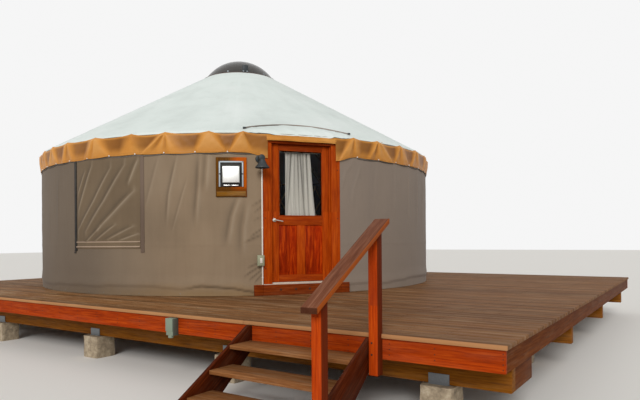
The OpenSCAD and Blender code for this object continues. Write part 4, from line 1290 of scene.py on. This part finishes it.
def makeFrame():
    d, out, full = door, (door["back"], door["face"]), (-door["halfFrame"], door["halfFrame"])
    openY, low = (-d["halfOpen"], d["halfOpen"]), yurt["floorTop"]
    posts = joinPieces("doorJambs", [doorBoard("jamb", out, y, (low, d["jambTop"]))
                                     for y in ((full[0], openY[0]), (openY[1], full[1]))])
    finishPiece(posts, doorUpright, "frame_wood", "door_jambs")
    head = doorBoard("doorHead", out, full, (d["jambTop"] + 0.0005, d["frameTop"]))
    finishPiece(head, doorLevel, "frame_wood", "door_head")
    stopX = (d["leafFace"] + 0.006, d["leafFace"] + 0.026)
    thresholdTop = low + d["threshold"]
    stops = joinPieces("doorStops", [doorBoard("stop", stopX, y, (thresholdTop, d["jambTop"]), 0.003)
                                     for y in ((openY[0], openY[0] + 0.022), (openY[1] - 0.022, openY[1]))])
    finishPiece(stops, doorUpright, "frame_wood", "door_stops")
    sill = doorBoard("doorSill", (3.755, d["sillFace"]), full, (yurt["deckTop"], low - 0.001), 0.005)
    finishPiece(sill, sillWood, "door_wood", "door_sill")
    blocks = dressNode("door_foot_blocks", "doorFootBlocks", 0.005)
    finishPiece(blocks, sillWood, "door_wood")
    threshold = joinPieces("doorThreshold", [
        doorBoard("strip", (out[0], out[1] - 0.020), openY, (low, thresholdTop), 0.004),
        doorBoard("strip", (out[1] + 0.001, d["sillFace"] + 0.003), (full[0], full[1] - 0.02),
                  (low - 0.0005, low + 0.007), 0.002)])
    finishPiece(threshold, thresholdMetal, "threshold_wood", "door_threshold")
    bolts = [makeRound("sillBolt", (d["sillFace"] + 0.002, y, 0.835), 0.016, 0.007, outward, 12)
             for y in d["sillBolts"]]
    finishPiece(joinTurned("sillBolts", bolts, doorTurn), boltMetal, "galvanised_steel")
    plugs = [makeRound("framePlug", (d["face"] + 0.001, y, z), 0.008, 0.004, outward, 10)
             for y in (-d["plugSide"], d["plugSide"]) for z in d["plugHeights"]]
    finishPiece(joinTurned("framePlugs", plugs, doorTurn), boltMetal, "galvanised_steel")


def makeLeaf():
    d = door
    x, inner = (d["leafBack"], d["leafFace"]), d["halfLeaf"] - d["stile"]
    uprights = joinPieces("leafUprights", [
        *[doorBoard("stile", x, y, (d["leafLow"], d["leafTop"])) for y in ((-d["halfLeaf"], -inner),
                                                                           (inner, d["halfLeaf"]))],
        doorBoard("mullion", x, (-d["halfMullion"], d["halfMullion"]), (d["panelLow"], d["lockLow"]))])
    finishPiece(uprights, doorUpright, "door_wood", "door_leaf", body="door")
    levels = (("glassTop", "leafTop"), ("lockLow", "glassLow"), ("leafLow", "panelLow"))
    rails = joinPieces("leafRails", [doorBoard("rail", x, (-inner, inner), (d[low], d[high]))
                                     for low, high in levels])
    finishPiece(rails, doorLevel, "door_wood", body="door")
    panels = []
    for left, right in ((-inner, -d["halfMullion"]), (d["halfMullion"], inner)):
        panels.append(doorBoard("panel", (x[0] + 0.012, x[1] - 0.012), (left, right),
                                (d["panelLow"], d["lockLow"])))
        panels.append(doorBoard("field", (x[0] + 0.006, x[1] - 0.007), (left + 0.035, right - 0.035),
                                (d["panelLow"] + 0.035, d["lockLow"] - 0.035), 0.006))
    finishPiece(joinPieces("leafPanels", panels), panelWood, "door_wood", body="door")
    beadX, bead, glassZ = (x[1] - 0.012, x[1] + 0.003), d["bead"], (d["glassLow"], d["glassTop"])
    beads = [doorBoard("bead", beadX, (-inner, inner), z, 0.004)
             for z in ((glassZ[1] - bead, glassZ[1]), (glassZ[0], glassZ[0] + bead))]
    beads.extend([doorBoard("bead", beadX, y, glassZ, 0.004)
                  for y in ((-inner, -inner + bead), (inner - bead, inner))])
    finishPiece(joinPieces("glassBeads", beads), doorLevel, "door_wood", body="door")
    pane = doorBoard("doorPane", (x[1] - 0.020, x[1] - 0.014), (-inner, inner), glassZ, 0.001)
    finishPiece(pane, paneGlass, "pane_glass", "door_glass", body="door")


curtain = {
    "top": (-0.2235, 0.184),
    "foot": (-0.225, 0.274),
    "low": 1.920,
    "high": 2.900,
    "depth": 3.695,
    "fold": 0.006,
    # Deep folds as shares of the width at the top and at the foot, with their depth
    "pleats": [(0.25, 0.06, 0.014), (0.51, 0.47, 0.012), (0.60, 0.66, 0.013), (0.72, 0.64, 0.010),
               (0.86, 0.80, 0.013), (0.12, 0.02, 0.008), (0.38, 0.27, 0.008)],
}


def curtainShape(u, v):
    left = curtain["foot"][0] + (curtain["top"][0] - curtain["foot"][0]) * v
    right = curtain["foot"][1] + (curtain["top"][1] - curtain["foot"][1]) * v ** 0.8
    y = left + (right - left) * u
    x = curtain["depth"] + curtain["fold"] * np.sin(2 * math.pi * (6 * u + 0.4 * np.sin(u * 5 + v)))
    paintedShading = np.zeros_like(u)
    for top, foot, depth in curtain["pleats"]:
        line = u - foot - (top - foot) * v
        x -= depth * crest(line, 0.022)
        # Painted shadow in each deep pleat
        paintedShading += depth / 0.013 * crest(line, 0.020 + 0.010 * v)
    paintedShading *= 0.45 + 0.55 * blendStep(v, 0.1, 0.7)
    z = curtain["low"] + (curtain["high"] - curtain["low"]) * v + 0.006 * np.sin(u * 31) * (1 - v)
    return *atDoor(x, y, z), paintedShading


makeFrame()
makeLeaf()
curtainSheet = gridSheet("curtainSheet", 220, 60, curtainShape)
finishPiece(curtainSheet, curtainCloth, "curtain_cloth", "door_curtain", body="door")
for node in ("curtain_rod", "door_hinges"):
    setMaterial(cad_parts[node], leverMetal)


lever = {
    "y": -0.425,
    "z": 1.873,
    "standOff": 0.052,
    "gripLength": 0.138,
}


def makeLevers():
    y, z, pieces = lever["y"], lever["z"], []
    for face, side in ((door["leafFace"], 1), (door["leafBack"], -1)):
        out = face + side * lever["standOff"]
        pieces.append(makeRound("rose", (face + side * 0.0045, y, z), 0.028, 0.008, outward, 32, 0.003))
        pieces.append(makeRound("neck", (face + side * 0.028, y, z), 0.009, 0.045, outward, 20, 0.002))
        grip = makeRound("grip", (out, y + 0.060, z + 0.002), 0.0095, lever["gripLength"], (0, 1, 0), 20,
                         0.006)
        for vertex in grip.data.vertices:
            along = (vertex.co.y - y + 0.01) / 0.14
            vertex.co.z += -0.006 * math.sin(along * 2.6) - 0.020 * along
            vertex.co.x += side * -0.012 * along ** 3
        pieces.append(grip)
    levers = joinTurned("doorLevers", pieces, doorTurn)
    finishPiece(levers, leverMetal, "lever_metal", "door_levers", body="lever")


makeLevers()
print("door made")


# Fittings on the wall

flap = {
    "left": -91.2,
    "right": -71.7,          # degrees from +X
    "low": 1.457,
    "high": 2.862,
    "stripLow": 1.400,
    # Folds as points in shares of the width and height, width in metres, depth in metres
    "folds": [
        ([(0.80, 0.90), (0.50, 0.52), (0.19, 0.19)], 0.040, 0.020),
        ([(0.60, 0.88), (0.33, 0.52), (0.04, 0.20)], 0.035, 0.016),
        ([(0.30, 0.92), (0.18, 0.68), (0.05, 0.42)], 0.035, 0.013),
        ([(0.18, 0.86), (0.04, 0.60)], 0.030, 0.012),
        ([(0.92, 0.62), (0.62, 0.38), (0.40, 0.22)], 0.050, 0.009),
        ([(0.44, 0.24), (0.20, 0.08)], 0.030, 0.011),
        ([(0.66, 0.26), (0.36, 0.09)], 0.030, 0.012),
        ([(0.90, 0.24), (0.55, 0.10)], 0.032, 0.011),
        ([(0.96, 0.16), (0.72, 0.09)], 0.028, 0.008),
        ([(0.97, 0.95), (0.85, 0.70)], 0.045, 0.008)],
}


def flapShape(u, v):
    angle = np.radians(flap["left"] + (flap["right"] - flap["left"]) * u)
    width = math.radians(flap["right"] - flap["left"]) * yurt["wallRadius"]
    height = flap["high"] - flap["low"]
    s, t = u * width, v * height
    push = 0.006 + 0.005 * np.sin(math.pi * u) * np.sin(math.pi * v) + 0.0012 * ripples(61, s, t, 0.3)
    paintedShading = np.zeros_like(u)
    for points, wide, depth in flap["folds"]:
        rises = np.array([point[1] for point in points[::-1]]) * height
        places = np.array([point[0] for point in points[::-1]]) * width
        lean = (places[-1] - places[0]) / (rises[-1] - rises[0])
        away = (s - np.interp(t, rises, places)) / math.hypot(1, lean)
        soft = 0.25 * (rises[-1] - rises[0])
        reach = between(t, rises[0] - soft, rises[0] + soft, rises[-1] - soft, rises[-1] + soft)
        push += 1.3 * depth * crest(away, 0.8 * wide) * reach
        # Painted shade on one flank of each fold, and a painted highlight on its ridge
        paintedShading += min(1, depth / 0.010) * crest(away + 0.9 * wide, 0.8 * wide) * reach
        paintedShading -= min(1, depth / 0.008) * crest(away - 0.1 * wide, 0.45 * wide) * reach
    edge = np.minimum(np.minimum(s, width - s), np.minimum(t, height - t))
    push = push * blendStep(edge, 0.0, 0.08) + 0.006
    radius = yurt["wallRadius"] + push
    return *aroundAxis(radius, angle, flap["low"] + t), paintedShading


def arcStrip(name, angles, levels, proud, bevel=0.003):
    columns = max(4, int((angles[1] - angles[0]) * 3))

    def shape(u, v):
        angle = np.radians(angles[0] + (angles[1] - angles[0]) * u)
        radius = yurt["wallRadius"] + proud
        return aroundAxis(radius, angle, levels[0] + (levels[1] - levels[0]) * v)

    strip = gridSheet(name, columns, 1, shape)
    selectOnly(strip)
    bpy.ops.object.modifier_add(type="SOLIDIFY")
    strip.modifiers[-1].thickness = proud
    strip.modifiers[-1].offset = -1
    bpy.ops.object.modifier_apply(modifier=strip.modifiers[-1].name)
    return bevelAll(strip, bevel)


flapSheet = gridSheet("windowFlapSheet", 130, 120, flapShape)
finishPiece(flapSheet, flapCanvas, "flap_canvas", "window_flap")
leftStrip = arcStrip("flapStripLeft", (flap["left"] - 0.85, flap["left"] - 0.57),
                     (flap["stripLow"], flap["high"]), 0.012)
rightStrip = arcStrip("flapStripRight", (flap["right"] + 0.04, flap["right"] + 0.95),
                      (flap["stripLow"], flap["high"]), 0.010, 0.004)
flapStrips = joinPieces("windowStrips", [leftStrip, rightStrip])
finishPiece(flapStrips, stripCanvas, "flap_canvas", "window_strips")
# A dark strip behind the left strip, with a tab below it
channel = joinPieces("flapChannel", [
    arcStrip("channel", (flap["left"] - 0.55, flap["left"] + 0.20), (1.425, flap["high"]), 0.019, 0.002),
    arcStrip("tab", (flap["left"] - 1.02, flap["left"] - 0.30), (1.385, 1.440), 0.011, 0.003)])
finishPiece(channel, darkFill, "dark_metal")
railPieces = [
    arcStrip("flapRail", (flap["left"], flap["right"]), (1.476, 1.500), 0.024, 0.010),
    arcStrip("flapBatten", (flap["left"], flap["right"]), (1.552, 1.572), 0.019, 0.006)]
finishPiece(joinPieces("flapRails", railPieces), railCanvas, "flap_canvas")


def makeVent():
    turn = math.radians(vent["direction"])
    back = yurt["wallRadius"]
    face = back + vent["boardThickness"]
    halfBoard = vent["board"][0] / 2
    board = makeBoard("ventBoard", (back, -halfBoard, vent["boardLow"]),
                      (face, halfBoard, vent["boardLow"] + vent["board"][1]), 0.004, turn)
    finishPiece(board, ventWood, "vent_board_wood", "vent_board")
    ledge = makeBoard("ventLedge", (face, -halfBoard + 0.012, vent["boardLow"] + 0.006),
                      (face + 0.010, halfBoard - 0.012, vent["boardLow"] + 0.082), 0.006, turn)
    finishPiece(ledge, ledgeWood, "vent_board_wood")
    half, low, high = vent["cap"][0] / 2, vent["capLow"], vent["capLow"] + vent["cap"][1]
    middle = (low + high) / 2
    bar, rimFace = vent["rimHalf"], face + vent["rimDepth"]
    rim = [makeBoard("rimSide", (face, side - bar, low), (rimFace, side + bar, high), 0.003)
           for side in (-half + bar, half - bar)]
    rim.append(makeBoard("rimTop", (face, -half, high - 2 * bar), (rimFace, half, high), 0.003))
    # Painted shade: a near-black plate behind the rim stands in for the shaded gap between the rim and the hood
    gapShadePlate = makeBoard("ventGapShadeAndClips", (face, -half + 0.02, low + 0.002),
                       (face + 0.008, half - 0.02, high - 0.02), 0.001)
    clips = [makeBoard("ventClip", (face + 0.021, side - 0.010, middle - 0.008),
                       (face + 0.027, side + 0.010, middle + 0.008), 0.002)
             for side in (-half + 0.0135, half - 0.0135)]
    width, height = vent["hoodBack"]
    front = face + vent["hoodDepth"]
    hood = makeCube((face + 0.008, -width / 2, low + 0.001), (front, width / 2, low + 0.001 + height))
    for polygon in hood.data.polygons:
        polygon.select = polygon.normal.x > 0.9
    bpy.ops.object.mode_set(mode="EDIT")
    bpy.ops.mesh.select_mode(type="FACE")
    bpy.ops.transform.resize(value=(1, vent["hoodFront"][0] / width, vent["hoodFront"][1] / height),
                             center_override=(front, 0, low + 0.185))
    bpy.ops.object.mode_set(mode="OBJECT")
    bevelAll(hood, 0.003)
    plateHalf, plateLow, slotHalf = vent["plateHalf"], low + vent["plateLow"], vent["slotHalf"]
    plate = makeBoard("ventPlate", (front - 0.002, -plateHalf, plateLow),
                      (front + 0.007, plateHalf, plateLow + 2 * plateHalf), 0.004)
    slots = [makeBoard("slot", (face + 0.018, y - slotHalf, low + 0.012),
                       (face + 0.034, y + slotHalf, low + 0.026), 0.003) for y in (-0.060, 0.058)]
    cap = joinTurned("ventCap", [plate, *slots], turn)
    finishPiece(cap, ventSteel, "vent_steel", "vent_cap")
    finishPiece(joinTurned("ventRim", rim, turn), rimSteel, "vent_steel")
    finishPiece(joinTurned("ventHood", [hood], turn), shadedHoodSteel, "vent_steel")
    finishPiece(joinTurned("ventGapShadeAndClips", [gapShadePlate, *clips], turn), darkFill, "dark_metal")


makeVent()

lamp = {
    "y": -0.666,
    "x": 3.977,
    "rim": 2.622,
    "radius": 0.105,
}


def makeLamp():
    x, y, rim, radius = lamp["x"], lamp["y"], lamp["rim"], lamp["radius"]
    outside = [(radius - 0.006, 0.0), (radius, 0.0), (radius - 0.002, 0.012), (0.088, 0.030), (0.068, 0.055),
               (0.052, 0.085), (0.042, 0.110), (0.034, 0.128), (0.018, 0.136), (0.0, 0.138)]
    inside = [(0.0, 0.120), (0.030, 0.115), (0.044, 0.085), (0.060, 0.055), (0.082, 0.028),
              (radius - 0.006, 0.0)]
    shade = spinProfile("shade", outside + inside, (x, y, rim))
    wallX = math.sqrt(yurt["wallRadius"] ** 2 - (y - 0.03) ** 2)
    canopy = makeRound("canopy", (wallX + 0.012, y - 0.006, rim + 0.150), 0.055, 0.030, outward, 32, 0.006)
    arm = makeRound("arm", ((wallX + x) / 2, y, rim + 0.156), 0.015, x - wallX, outward, 16, 0.002)
    elbow = makeRound("elbow", (x - 0.035, y, rim + 0.152), 0.050, 0.075, outward, 32, 0.020)
    bulb = makeRound("bulb", (x, y, rim + 0.075), 0.024, 0.07, sides=20, bevel=0.010)
    piece = joinTurned("wallLamp", [shade, canopy, arm, elbow, bulb], doorTurn)
    finishPiece(piece, lampMetal, "dark_metal", "wall_lamp")


makeLamp()


conduit = {
    "x": 3.851,
    "y": -0.637,
    "radius": 0.011,
    "middle": 1.83,
    "length": 1.83,
    "clipHeights": (1.02, 1.75, 2.45),
    "boxWidth": 0.105,
    "boxLow": 1.192,
    "boxHigh": 1.352,
}


def makeConduit():
    x, y, radius = conduit["x"], conduit["y"], conduit["radius"]
    pipe = makeRound("pipe", (x, y, conduit["middle"]), radius, conduit["length"], (0, 0, 1), 20, 0.001)
    clips = [makeRound("clip", (x, y, z), radius + 0.003, 0.018, sides=20, bevel=0.002)
             for z in conduit["clipHeights"]]
    piece = joinTurned("conduitPipe", [pipe, *clips], doorTurn)
    finishPiece(piece, conduitPlastic, "pale_plastic", "conduit")
    boxY, front = y - conduit["boxWidth"] * 0.82, x + radius
    boxHeights = (conduit["boxLow"], conduit["boxHigh"])
    body = doorBoard("box", (front, front + 0.034), (boxY, boxY + conduit["boxWidth"]), boxHeights, 0.008)
    lid = doorBoard("lid", (front + 0.034, front + 0.042), (boxY + 0.012, boxY + 0.093),
                    (boxHeights[0] + 0.014, boxHeights[1] - 0.014), 0.005)
    toggle = doorBoard("switchToggle", (front + 0.042, front + 0.050), (boxY + 0.036, boxY + 0.069),
                       (1.235, 1.309), 0.003)
    finishPiece(toggle, conduitPlastic, "pale_plastic")
    box = joinPieces("switchBox", [body, lid])
    finishPiece(box, boxPlastic, "box_plastic", "switch_box")


makeConduit()
print("fittings made")


# Floor, backdrop and lights

stageSetup = {
    "floorColor": "#eeebe5",
    "worldStrength": 0.44,
    "backdropStrength": 0.92,
    "keyPower": 1.95,
    "keyAngle": 26,          # degrees across, a soft sun
    "keyTurn": (60, 0, 26),
}


def makeStage():
    bpy.ops.object.select_all(action="DESELECT")
    bpy.ops.mesh.primitive_plane_add(size=160, location=(0, 0, -0.001))
    ground = bpy.context.object
    ground.name = "studioFloor"
    material = startMaterial("paleStudioFloor", Roughness=0.9,
                             Base_Color=linearColor(stageSetup["floorColor"]))[0]
    ground.data.materials.append(material)
    world = bpy.data.worlds.new("studioWorld")
    bpy.context.scene.world = world
    world.use_nodes = True
    tree = world.node_tree
    background = tree.nodes["Background"]
    path = addNode(tree, "LightPath")
    seen = mathNode(tree, "MAXIMUM", path.outputs["Is Camera Ray"], path.outputs["Is Glossy Ray"])
    seen = mathNode(tree, "MAXIMUM", seen, path.outputs["Is Transmission Ray"])
    strength = spread(tree, seen, stageSetup["worldStrength"], stageSetup["backdropStrength"])
    tree.links.new(strength, background.inputs["Strength"])
    background.inputs["Color"].default_value = (1, 1, 1, 1)
    bpy.ops.object.light_add(type="SUN", rotation=[math.radians(a) for a in stageSetup["keyTurn"]])
    key = bpy.context.object
    key.data.energy = stageSetup["keyPower"]
    key.data.angle = math.radians(stageSetup["keyAngle"])


makeStage()
bpy.context.scene.view_settings.view_transform = "Standard"
